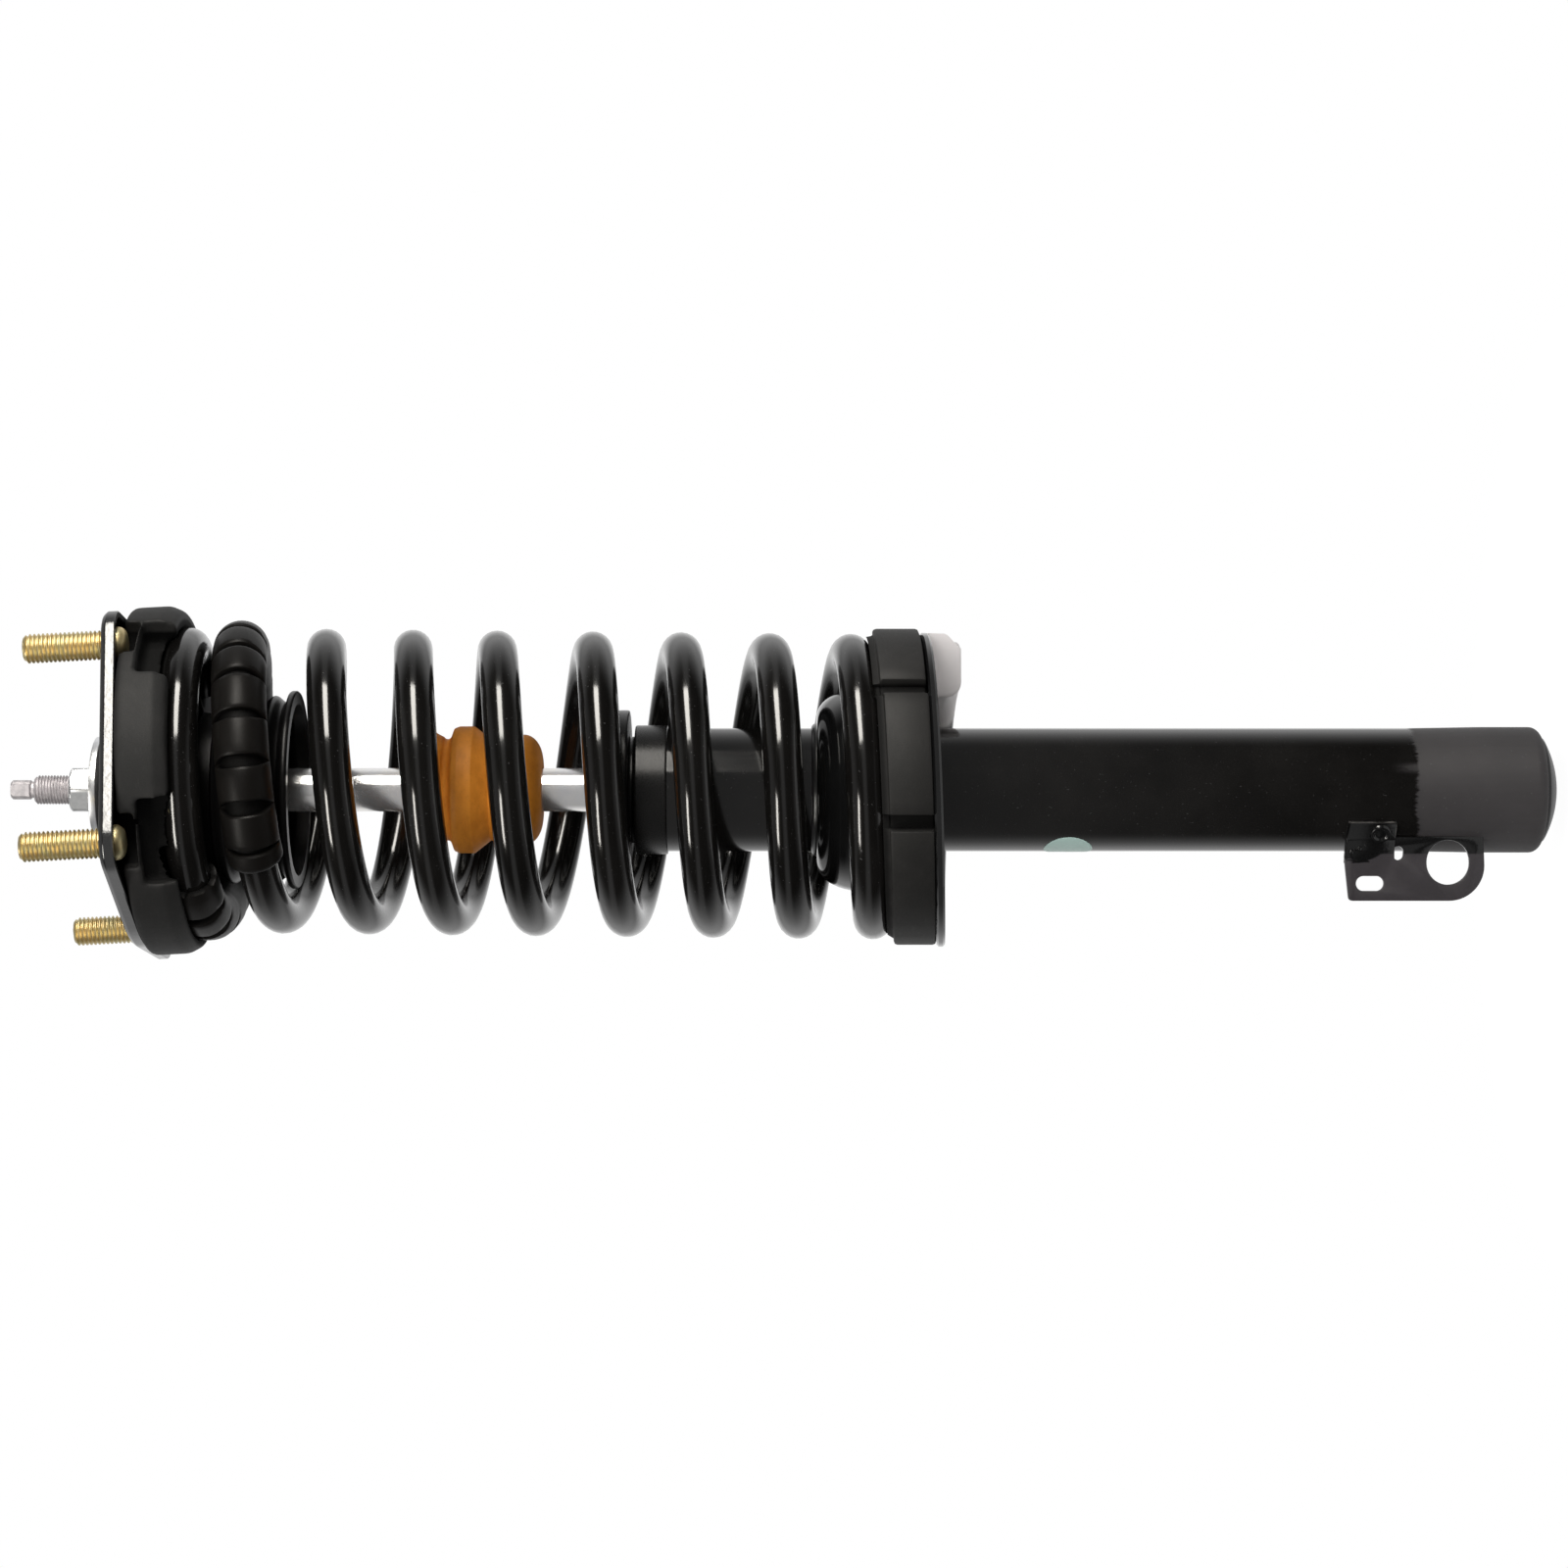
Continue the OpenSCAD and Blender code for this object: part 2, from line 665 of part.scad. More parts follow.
module rebound_bumper() {
    z = guide_low_z - LOOSE;
    color(RUBBER)
        lathe([
            [rod_r, z], [bore_r - 2.2, z], [bore_r - 1.2, z - 1],
            [bore_r - 1.2, z - rebound_h + 1], [bore_r - 2.2, z - rebound_h], [rod_r, z - rebound_h]
        ]);
}

module stop_ring() {
    z = guide_low_z - LOOSE - rebound_h;
    color(STEEL)
        ring(bore_r - 2.5, rod_r, z, z - stop_h);
}

module piston() {
    band_top = piston_top_z - (piston_h - band_h) / 2;
    color(STEEL)
        difference() {
            ring(piston_r, shank_r, piston_top_z, piston_low_z);
            ring(bore_r + CUT, bore_r - run_fit - band_t, band_top, band_top - band_h);
            for (i = [0 : 5])
                rotate([0, 0, 60 * i])
                    translate([port_pitch_r, 0, piston_low_z - CUT])
                        cylinder(h = piston_h + 2 * CUT, r = port_r);
        }
}

module piston_band() {
    band_top = piston_top_z - (piston_h - band_h) / 2;
    color(BRONZE)
        ring(bore_r - run_fit, bore_r - run_fit - band_t, band_top, band_top - band_h);
}

module piston_valve_discs() {
    color(STEEL) {
        ring(bore_r - 4, shank_r, piston_top_z + disc_t, piston_top_z);
        ring(bore_r - 4, shank_r, piston_low_z, piston_low_z - disc_t);
    }
}

module piston_nut() {
    top = piston_low_z - disc_t;
    color(STEEL)
        difference() {
            translate([0, 0, top - piston_nut_h])
                cylinder(h = piston_nut_h, r = 16 / sqrt(3), $fn = 6);
            translate([0, 0, top - piston_nut_h - CUT])
                cylinder(h = piston_nut_h + 2 * CUT, r = shank_r);
        }
}

// ------------------------------------------------------------------ spring

module coil_spring() {
    color(GLOSS_BLACK)
        skin([for (n = rings(coil_start, coil_end)) round_section(n, wire_r)]);
}

module spring_sleeve() {
    step = (sleeve_to - sleeve_from) / wire_sleeve_segments;
    half = slit_w / 2 / circumference;
    slit_r = wire_sleeve_r - slit_depth;
    // [turn, outer radius]: full segments with a narrow slit between each two
    stations = with_rings(concat(
        [[sleeve_from, wire_sleeve_r]],
        [for (i = [1 : wire_sleeve_segments - 1])
            let (c = sleeve_from + step * i)
                each [[c - 1.5 * half, wire_sleeve_r], [c - half, slit_r],
                      [c + half, slit_r], [c + 1.5 * half, wire_sleeve_r]]],
        [[sleeve_to, wire_sleeve_r]]
    ));
    color(RUBBER)
        pipe_skin(
            [for (s = stations) round_section(s[0], s[1])],
            [for (s = stations) round_section(s[0], wire_r + wire_sleeve_gap)]
        );
}

// ------------------------------------------------------------------ jounce bumper

module jounce_bumper() {
    top = -bumper_top_depth;
    low = top - bumper_l;
    r1 = bumper_d / 2 - 1.2;
    r2 = bumper_d / 2;
    r3 = bumper_d / 2 - 3.4;
    groove_r = 21.3;
    bore = rod_r + LOOSE;
    color(OCHRE)
        lathe(concat(
            [[bore, top], [r1 - 4, top]],
            arc([r1 - 4, top - 4], 4, 90, 0, 5),
            arc([r1 - 2, top - 11.2], 2, 0, -60, 3),
            arc([groove_r + 1.6, top - 15], 1.6, 120, 240, 4),
            [[r2 - 0.8, top - 19.8], [r2, top - 21], [r2, top - 30], [r2 - 5, top - 36.4]],
            arc([groove_r - 0.6, top - 41.8], 4.6, 80, 280, 6),
            arc([r3 - 3, top - 49], 3, 60, 0, 3),
            arc([r3 - 8, low + 8], 8, 0, -70, 5),
            [[12.5, low], [bore, low]]
        ));
}

// ------------------------------------------------------------------ damper tube

module reserve_tube() {
    lip_r = tube_bore_r - 4;
    color(GLOSS_BLACK)
        lathe(concat(
            [[lip_r, tube_top_z], [tube_r - 1.5, tube_top_z]],
            arc([tube_r - 1.5, tube_top_z - 1.5], 1.5, 90, 0, 4),
            [[tube_r, tube_end_z + clamp_l], [clamp_r, tube_end_z + clamp_l]],
            arc([clamp_r - tube_end_h, tube_end_z], tube_end_h, 0, -72, 6),
            [[cap_r, base_z], [cap_r, base_z + cap_t - 1],
             [tube_bore_r, base_z + cap_t + 2], [tube_bore_r, seal_top_z], [lip_r, seal_top_z]]
        ));
}

module base_cap() {
    r = cap_r;
    sphere_r = (r * r + base_dome_h * base_dome_h) / (2 * base_dome_h);
    half_angle = asin(r / sphere_r);
    color(GLOSS_BLACK)
        lathe(concat(
            [[0, base_z + cap_t], [r - 0.8, base_z + cap_t], [r, base_z + cap_t - 0.8],
             [r, base_z - 0.8]],
            arc([0, base_z - 0.8 - base_dome_h + sphere_r], sphere_r, half_angle - 90, -90)
        ));
}

module striker_cap() {
    skirt_l = 12;
    skirt_t = 1.2;
    disc_t = 4.8;
    neck_r = 22;
    bore = rod_r + 1;
    top = tube_top_z + striker_h;
    color(SATIN_BLACK)
        lathe([
            [bore, top], [striker_d / 2 - 1, top], [striker_d / 2, top - 1],
            [striker_d / 2, top - disc_t + 1], [striker_d / 2 - 1, top - disc_t],
            [neck_r, top - disc_t], [neck_r, tube_top_z + 1.4],
            [tube_r + skirt_t - 1, tube_top_z + 1.4], [tube_r + skirt_t, tube_top_z + 0.4],
            [tube_r + skirt_t, tube_top_z - skirt_l], [tube_r, tube_top_z - skirt_l],
            [tube_r, tube_top_z], [bore, tube_top_z]
        ]);
}

module rod_seal() {
    color(RUBBER)
        ring(tube_bore_r, rod_r + run_fit, seal_top_z, guide_top_z);
}

module rod_guide() {
    color(STEEL) {
        ring(tube_bore_r, rod_r + run_fit, guide_top_z, pressure_top_z);
        ring(bore_r, rod_r + run_fit, pressure_top_z, guide_low_z);
    }
}

module pressure_tube() {
    color(STEEL)
        ring(pressure_r, bore_r, pressure_top_z, pressure_low_z);
}

module base_valve() {
    color(STEEL)
        difference() {
            union() {
                translate([0, 0, valve_low_z])
                    cylinder(h = valve_flange_h, r = pressure_r);
                translate([0, 0, valve_low_z])
                    cylinder(h = valve_flange_h + valve_spigot_h, r = bore_r);
            }
            for (i = [0 : 5])
                rotate([0, 0, 60 * i])
                    translate([port_pitch_r, 0, valve_low_z + 3])
                        cylinder(h = valve_flange_h + valve_spigot_h, r = port_r);
        }
}

// ------------------------------------------------------------------ lower spring seat

// Sections of a part that follows the seat's helix, at fixed distances from the strut axis
function seat_section(n, outline) =
    [for (p = outline) let (a = -360 * n) [p[0] * cos(a), p[0] * sin(a), p[1]]];

module lower_spring_seat() {
    hub_arc = hub_r - hub_top_r;
    r_in = hub_r - seat_t;
    r_skirt_in = r_in - 0.6;
    color(GLOSS_BLACK) {
        // domed hub
        lathe(concat(
            [[tube_r + hub_fit, hub_top_z]],
            arc([hub_top_r, hub_top_z - hub_arc], hub_arc, 90, 0),
            [[hub_r, hub_join_z - 2], [r_in, hub_join_z - 2]],
            arc([hub_top_r, hub_top_z - hub_arc], hub_arc - seat_t, 0, 90),
            [[tube_r + hub_fit, hub_top_z - seat_t]]
        ));
        // skirt and helical flange, in two halves
        for (half = [0, 1])
            skin([for (n = rings(seat_from + half / 2, seat_from + (half + 1) / 2, FLANGE_RINGS))
                seat_section(n, [
                    [r_skirt_in, seat_z(n) - seat_t], [seat_r, seat_z(n) - seat_t],
                    [seat_r, seat_z(n)], [hub_skirt_r, seat_z(n)],
                    [hub_skirt_r, hub_join_z], [r_skirt_in, hub_join_z]
                ])]);
        // step between the ends of the flange
        translate([hub_r - seat_t / 2, -0.5, seat_low_z - seat_t / 2])
            cube([seat_r - hub_r + seat_t / 2 - 1.5, seat_t, seat_rise]);
    }
}

module seat_weld() {
    color(SATIN_BLACK)
        lathe([[tube_r, hub_top_z + weld_leg], [tube_r, hub_top_z], [tube_r + weld_leg, hub_top_z]]);
}

module lower_isolator() {
    n_end = seat_to - step_half_gap / (2 * PI * lower_iso_bore_r);
    step = 1 / iso_notches;
    half = iso_notch_gap / 2 / (2 * PI * lower_iso_r);
    // [turn, outer radius]: each notch is a short stretch of smaller radius
    stations = concat(
        [[seat_from, lower_iso_r]],
        [for (i = [0 : iso_notches - 1])
            let (c = seat_from + step * (i + 1), last = i == iso_notches - 1, b = last ? n_end : c)
                each concat(
                    [for (n = rings(c - step + 2 * half, b - 2 * half, FLANGE_RINGS)) [n, lower_iso_r]],
                    last ? [] : [
                        [c - half, lower_iso_r], [c - 0.8 * half, lower_iso_r - iso_notch_depth],
                        [c + 0.8 * half, lower_iso_r - iso_notch_depth], [c + half, lower_iso_r]
                    ]
                )],
        [[n_end, lower_iso_r]]
    );
    groove_r = wire_r + 2 * LOOSE;
    opening = acos((wire_r - iso_nest) / groove_r);
    color(RUBBER)
        skin([for (s = stations)
            let (n = s[0], a = -360 * n, wire_z = closed_wire_z(n), top = wire_z - wire_r + iso_nest)
                [for (p = concat(
                    [[lower_iso_bore_r, seat_z(n) + iso_fit], [s[1], seat_z(n) + iso_fit], [s[1], top]],
                    [for (b = [opening : -opening / 2 : -opening])
                        [coil_r + groove_r * sin(b), wire_z - groove_r * cos(b)]],
                    [[lower_iso_bore_r, top]]
                )) [coil_offset_low + p[0] * cos(a), p[0] * sin(a), p[1]]]]);
}

// ------------------------------------------------------------------ bracket and label

module bracket_outline() {
    r = bracket_corner_r;
    // x runs away from the strut axis, y runs along it
    translate([0, bracket_top_z])
        polygon(concat(
            [[-tube_r + 6, 0], [-tube_r + 6, -bracket_l]],
            arc([-bracket_reach + r, -bracket_l + r], r, -90, -180),
            arc([-bracket_reach + edge_r, -2 - edge_r], edge_r, 180, 90, 4),
            [[-tube_r, 0]]
        ));
}

module stadium(length, width) {
    hull()
        for (s = [-1, 1])
            translate([0, s * (length - width) / 2])
                circle(d = width, $fn = 32);
}

module locating_bracket() {
    ear_r = tube_r + ear_t;
    color(SATIN_BLACK)
        difference() {
            union() {
                // flat tab
                translate([0, -bracket_plane + bracket_t / 2, 0])
                    rotate([90, 0, 0])
                        linear_extrude(bracket_t)
                            bracket_outline();
                // ear that lies on the tube
                intersection() {
                    ring(ear_r, tube_r, bracket_top_z, bracket_top_z - ear_l);
                    translate([0, 0, bracket_top_z - ear_l - CUT])
                        linear_extrude(ear_l + 2 * CUT)
                            polygon([[0, 0], 2 * ear_r * [cos(ear_from), sin(ear_from)],
                                     2 * ear_r * [cos(ear_to), sin(ear_to)]]);
                }
            }
            translate([0, 0, bracket_low_z - CUT])
                cylinder(h = bracket_l + 2 * CUT, r = tube_r);
            translate([hose_hole_at[0], -bracket_plane + bracket_t, hose_hole_at[1]])
                rotate([90, 0, 0])
                    cylinder(h = 2 * bracket_t, r = hose_hole_r);
            translate([slot_at[0], -bracket_plane + bracket_t, slot_at[1]])
                rotate([90, 0, 0])
                    linear_extrude(2 * bracket_t)
                        stadium(slot_l, slot_w);
            translate([key_hole_at[0], -bracket_plane + bracket_t, key_hole_at[1]])
                rotate([90, 0, 0])
                    linear_extrude(2 * bracket_t)
                        rotate([0, 0, 90])
                            stadium(key_hole_l, key_hole_w);
        }
}

module side_label() {
    color(MINT)
        intersection() {
            ring(tube_r + label_t, tube_r, label_z + label_r + CUT, label_z - label_r - CUT);
            rotate([0, 0, label_angle])
                translate([0, 0, label_z])
                    rotate([0, 90, 0])
                        cylinder(h = tube_d, r = label_r);
        }
}

mount_plate();
mount_studs();
bushing_housing();
bushing_rubber();
bushing_sleeve();
upper_washer();
rod_nut();
upper_isolator();
bumper_cup();
dust_boot();
piston_rod();
rebound_bumper();
stop_ring();
piston();
piston_band();
piston_valve_discs();
piston_nut();
coil_spring();
spring_sleeve();
jounce_bumper();
reserve_tube();
striker_cap();
rod_seal();
rod_guide();
pressure_tube();
base_valve();
base_cap();
lower_spring_seat();
seat_weld();
lower_isolator();
locating_bracket();
side_label();
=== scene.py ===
"""The visual model of a suspension strut assembly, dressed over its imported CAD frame.

Sizes in the classes are millimetres; meshes are made in metres, in the CAD frame: the strut axis
is Z, +Z points at the top mount, and the locating bracket faces -Y.
"""

from __future__ import annotations

import logging
import math
from dataclasses import dataclass, field
from enum import Enum
from typing import Any, Callable, Iterable, Sequence

import bmesh
import bpy
from mathutils import Matrix, Vector, kdtree, noise

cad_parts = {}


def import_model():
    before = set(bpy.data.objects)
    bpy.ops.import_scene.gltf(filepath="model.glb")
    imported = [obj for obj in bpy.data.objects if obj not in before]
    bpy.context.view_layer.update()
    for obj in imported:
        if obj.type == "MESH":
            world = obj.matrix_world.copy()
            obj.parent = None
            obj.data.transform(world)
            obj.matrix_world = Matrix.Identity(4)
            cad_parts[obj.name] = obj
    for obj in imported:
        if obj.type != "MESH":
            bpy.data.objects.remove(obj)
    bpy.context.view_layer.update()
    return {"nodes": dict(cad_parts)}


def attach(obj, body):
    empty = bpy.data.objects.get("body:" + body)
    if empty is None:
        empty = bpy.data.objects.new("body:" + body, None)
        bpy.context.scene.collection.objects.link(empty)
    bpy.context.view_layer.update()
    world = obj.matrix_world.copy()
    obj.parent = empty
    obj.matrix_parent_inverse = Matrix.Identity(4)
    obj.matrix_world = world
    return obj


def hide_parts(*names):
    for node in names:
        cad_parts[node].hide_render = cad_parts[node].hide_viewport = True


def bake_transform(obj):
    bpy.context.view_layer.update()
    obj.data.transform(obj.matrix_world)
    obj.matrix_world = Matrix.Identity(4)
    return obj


LOG = logging.getLogger("strut")

# metres
MM = 0.001
MERGE = 2e-7
WIDE_MERGE = 1e-6

# names of stored attributes
REST = "rest"
DEPTH = "depth"

Point = tuple[float, float, float]
Colour = tuple[float, float, float]
Outline = list[tuple[float, float]]
Ring = list[Point]
Number = "Signal | float"

WHITE: Colour = (1.0, 1.0, 1.0)
DUST: Colour = (0.16, 0.16, 0.16)


class Body(Enum):
    """The bodies that pieces ride on."""

    TOP = "top_mount_and_rod"
    BUMPER = "jounce_bumper"
    TUBE = "damper_tube"


class Slot(Enum):
    """Names of material slots."""

    GLOSS_BLACK = "gloss_black_paint"
    SATIN_BLACK = "satin_black_paint"
    SPRING = "spring_paint"
    RUBBER = "dark_rubber"
    PLASTIC = "black_plastic"
    ZINC = "yellow_zinc"
    STEEL = "bare_steel"
    CHROME = "chrome_rod"
    URETHANE = "ochre_urethane"
    STICKER = "mint_sticker"


# ---------------------------------------------------------------- small geometry


def arc(cx: float, cz: float, r: float, start: float, end: float, steps: int = 8) -> Outline:
    """Points on an arc.

    Args:
        cx: Centre, across.
        cz: Centre, along.
        r: Radius.
        start: First angle, in degrees.
        end: Last angle, in degrees.
        steps: Number of chords.

    Returns:
        The points, both ends included.
    """
    angles = [math.radians(start + (end - start) * k / steps) for k in range(steps + 1)]
    return [(cx + r * math.cos(a), cz + r * math.sin(a)) for a in angles]


def eased(t: float) -> float:
    """A number clamped to 0..1 and eased at both ends."""
    t = min(1.0, max(0.0, t))
    return t * t * (3 - 2 * t)


def spread(a: float, b: float, count: int) -> list[float]:
    """Evenly spaced numbers from a to b, both included."""
    return [a + (b - a) * k / (count - 1) for k in range(count)]


def polar(r: float, azimuth: float, z: float) -> Point:
    """A point at radius r and an azimuth in radians."""
    return (r * math.cos(azimuth), r * math.sin(azimuth), z)


def hoop(r: float, z: float, count: int) -> Ring:
    """A level ring of points round the strut axis."""
    return [polar(r, math.tau * k / count, z) for k in range(count)]


def turned(degrees: float, axis: str = "Z") -> Matrix:
    """A turn about an axis of the frame."""
    return Matrix.Rotation(math.radians(degrees), 4, axis)


def moved(x: float, y: float, z: float) -> Matrix:
    """A move in millimetres."""
    return Matrix.Translation((x * MM, y * MM, z * MM))


def rounded(outline: Outline, radius: float, closed: bool = True, steps: int = 3) -> Outline:
    """Rounds the corners of an outline.

    Args:
        outline: The corners.
        radius: Fillet radius, cut down where an edge is short.
        closed: Whether the last corner joins the first one.
        steps: Chords in each fillet.

    Returns:
        The outline with each corner replaced by a fillet.
    """
    count = len(outline)
    made: Outline = []
    for i, corner in enumerate(outline):
        if not closed and i in (0, count - 1):
            made.append(corner)
            continue
        here = Vector(corner)
        back = Vector(outline[i - 1]) - here
        on = Vector(outline[(i + 1) % count]) - here
        bend = back.angle(on, math.pi)
        if bend > math.radians(165):
            made.append(corner)
            continue
        reach = min(radius / math.tan(bend / 2), 0.45 * back.length, 0.45 * on.length)
        a, b = here + back.normalized() * reach, here + on.normalized() * reach
        for k in range(steps + 1):
            t = k / steps
            p = a * (1 - t) ** 2 + here * 2 * t * (1 - t) + b * t**2
            made.append((p.x, p.y))
    return made


def braced(outline: Outline, gap: float = 0.5) -> Outline:
    """Adds points near both ends of each long straight, which keeps its shading flat."""
    made = outline[:1]
    for (x0, z0), (x1, z1) in zip(outline, outline[1:]):
        length = math.hypot(x1 - x0, z1 - z0)
        if length > 4 * gap:
            share = gap / length
            made.append((x0 + (x1 - x0) * share, z0 + (z1 - z0) * share))
            made.append((x1 - (x1 - x0) * share, z1 - (z1 - z0) * share))
        made.append((x1, z1))
    return made


# ---------------------------------------------------------------- workbench


class Workbench:
    """Shapes meshes with Blender's own operators, the way they are used by hand."""

    def pick(self, *pieces: bpy.types.Object) -> None:
        """Selects only these pieces and makes the first one active."""
        for item in bpy.context.selected_objects:
            item.select_set(False)
        for piece in pieces:
            piece.select_set(True)
        bpy.context.view_layer.objects.active = pieces[0] if pieces else None

    def begin(self, name: str) -> bpy.types.Object:
        """Names the primitive that was just added and opens it in edit mode.

        Args:
            name: The piece's name.

        Returns:
            The piece, in edit mode with everything selected.
        """
        piece = bpy.context.active_object
        piece.name = piece.data.name = name
        bpy.ops.object.mode_set(mode="EDIT")
        bpy.ops.mesh.select_all(action="SELECT")
        return piece

    def close(self, merge: float = MERGE) -> None:
        """Merges doubles, turns the faces outwards and leaves edit mode."""
        bpy.ops.mesh.select_all(action="SELECT")
        bpy.ops.mesh.remove_doubles(threshold=merge)
        bpy.ops.mesh.normals_make_consistent(inside=False)
        bpy.ops.object.mode_set(mode="OBJECT")

    def trace(self, name: str, outline: Outline) -> bpy.types.Object:
        """Draws an outline in the XZ plane by extruding a point.

        Args:
            name: The piece's name.
            outline: (radius, height) of each point.

        Returns:
            The open wire, in edit mode.
        """
        self.pick()
        bpy.ops.mesh.primitive_plane_add(size=MM)
        piece = self.begin(name)
        bpy.ops.mesh.merge(type="CENTER")
        bpy.ops.transform.translate(value=(outline[0][0] * MM, 0, outline[0][1] * MM))
        for (r0, z0), (r1, z1) in zip(outline, outline[1:]):
            step = ((r1 - r0) * MM, 0, (z1 - z0) * MM)
            bpy.ops.mesh.extrude_vertices_move(TRANSFORM_OT_translate={"value": step})
        return piece

    def turn(
        self, name: str, outline: Outline, steps: int = 128, closed: bool = True
    ) -> bpy.types.Object:
        """Spins an outline round the strut axis.

        Args:
            name: The piece's name.
            outline: (radius, height) of each point.
            steps: Faces round the piece.
            closed: Whether the outline's last point joins its first one.

        Returns:
            The turned piece.
        """
        if closed:
            outline = outline + outline[:1]
        piece = self.trace(name, braced(outline))
        bpy.ops.mesh.select_all(action="SELECT")
        bpy.ops.mesh.spin(steps=steps, angle=math.tau, center=(0, 0, 0), axis=(0, 0, 1))
        self.close()
        return piece

    def loft(self, name: str, rings: Sequence[Ring], loop: bool = False) -> bpy.types.Object:
        """Extrudes a ring of points through a list of sections.

        Args:
            name: The piece's name.
            rings: The sections, each with the same number of points.
            loop: Whether the last section joins the first one.

        Returns:
            The piece, with its ends filled or joined.
        """
        self.pick()
        count = len(rings[0])
        bpy.ops.mesh.primitive_circle_add(vertices=count, radius=MM, fill_type="NOTHING")
        piece = self.begin(name)
        edit = bmesh.from_edit_mesh(piece.data)
        order = list(edit.verts)
        for vert, point in zip(order, rings[0]):
            vert.co = Vector(point) * MM
        for ring in [*rings[1:], *(rings[:1] if loop else [])]:
            places = {vert.co.to_tuple(): k for k, vert in enumerate(order)}
            bmesh.update_edit_mesh(piece.data, loop_triangles=False, destructive=False)
            bpy.ops.mesh.extrude_region_move()
            edit = bmesh.from_edit_mesh(piece.data)
            edit.verts.ensure_lookup_table()
            fresh = edit.verts[-count:]
            order = sorted(fresh, key=lambda vert: places[vert.co.to_tuple()])
            for vert, point in zip(order, ring):
                vert.co = Vector(point) * MM
        if not loop:
            bpy.ops.mesh.edge_face_add()
            bpy.ops.mesh.select_all(action="DESELECT")
            edit = bmesh.from_edit_mesh(piece.data)
            edit.verts.ensure_lookup_table()
            for vert in edit.verts[:count]:
                vert.select = True
            edit.select_flush(True)
            bpy.ops.mesh.edge_face_add()
        self.close()
        return piece

    def sweep(
        self, name: str, points: Sequence[Point], radius: float, sides: int = 24
    ) -> bpy.types.Object:
        """Sweeps a round section along a path.

        Args:
            name: The piece's name.
            points: The path.
            radius: Radius of the section.
            sides: Faces round the section, an even number above 4.

        Returns:
            The swept mesh, its ends filled.
        """
        self.pick()
        bpy.ops.curve.primitive_nurbs_path_add()
        piece = bpy.context.active_object
        piece.name = name
        path = piece.data
        path.splines.clear()
        spline = path.splines.new("POLY")
        spline.points.add(len(points) - 1)
        for node, point in zip(spline.points, points):
            node.co = (*(c * MM for c in point), 1)
        path.twist_mode = "MINIMUM"
        path.bevel_depth = radius * MM
        path.bevel_resolution = (sides - 4) // 2
        path.use_fill_caps = True
        bpy.ops.object.convert(target="MESH")
        piece = bpy.context.active_object
        piece.data.name = name
        return piece

    def plate(
        self, name: str, outlines: Sequence[Outline], thickness: float, edge: float
    ) -> bpy.types.Object:
        """Cuts a flat plate with holes out of sheet, with rounded edges, in the XY plane.

        Args:
            name: The piece's name.
            outlines: The outer outline, then each hole.
            thickness: Thickness of the sheet.
            edge: Radius of its edges.

        Returns:
            The plate, centred on the XY plane.
        """
        self.pick()
        bpy.ops.curve.primitive_bezier_circle_add()
        piece = bpy.context.active_object
        piece.name = name
        sheet = piece.data
        sheet.splines.clear()
        for outline in outlines:
            spline = sheet.splines.new("POLY")
            spline.points.add(len(outline) - 1)
            spline.use_cyclic_u = True
            for node, (x, y) in zip(spline.points, outline):
                node.co = (x * MM, y * MM, 0, 1)
        sheet.dimensions = "2D"
        sheet.fill_mode = "BOTH"
        sheet.extrude = (thickness / 2 - edge) * MM
        sheet.bevel_depth = edge * MM
        sheet.bevel_resolution = 1
        sheet.offset = -edge * MM
        bpy.ops.object.convert(target="MESH")
        piece = bpy.context.active_object
        piece.data.name = name
        self.pick(piece)
        bpy.ops.object.mode_set(mode="EDIT")
        self.close(WIDE_MERGE)
        return piece

    def block(self, name: str, low: Point, high: Point, bevel: float = 0) -> bpy.types.Object:
        """A box between two corners, with bevelled edges.

        Args:
            name: The piece's name.
            low: Its lowest corner.
            high: Its highest corner.
            bevel: Width of the bevel on its edges.

        Returns:
            The box.
        """
        self.pick()
        bpy.ops.mesh.primitive_cube_add(size=1)
        piece = self.begin(name)
        size = [(b - a) * MM for a, b in zip(low, high)]
        middle = [(a + b) / 2 * MM for a, b in zip(low, high)]
        bpy.ops.transform.resize(value=size)
        bpy.ops.transform.translate(value=middle)
        if bevel:
            bpy.ops.mesh.bevel(offset=bevel * MM, segments=3, affect="EDGES")
        self.close()
        return piece

    def thread(
        self, name: str, radius: float, pitch: float, low: float, top: float, chamfer: float
    ) -> bpy.types.Object:
        """A screw thread between two heights, its top chamfered.

        Args:
            name: The piece's name.
            radius: Outer radius.
            pitch: Rise of one turn.
            low: Lower end.
            top: Upper end.
            chamfer: Height of the chamfer.

        Returns:
            The thread, closed at both ends.
        """
        root = radius - 0.58 * pitch
        start = low - 2 * pitch
        turns = math.ceil((top - start) / pitch) + 2
        steps = [(root, 0.0), (root, 0.1), (radius, 0.46), (radius, 0.6), (root, 0.96), (root, 1.0)]
        screw = self.trace(name, [(r, start + pitch * z) for r, z in steps])
        bpy.ops.object.mode_set(mode="OBJECT")
        self.apply(
            screw,
            "SCREW",
            axis="Z",
            angle=math.tau,
            screw_offset=pitch * MM,
            iterations=turns,
            steps=32,
            render_steps=32,
            use_merge_vertices=True,
            merge_threshold=2 * WIDE_MERGE,
        )
        self.pick(screw)
        bpy.ops.object.mode_set(mode="EDIT")
        for z, way in ((low, -1), (top, 1)):
            bpy.ops.mesh.select_all(action="SELECT")
            bpy.ops.mesh.bisect(
                plane_co=(0, 0, z * MM), plane_no=(0, 0, way), use_fill=True, clear_outer=True
            )
        self.close(WIDE_MERGE)

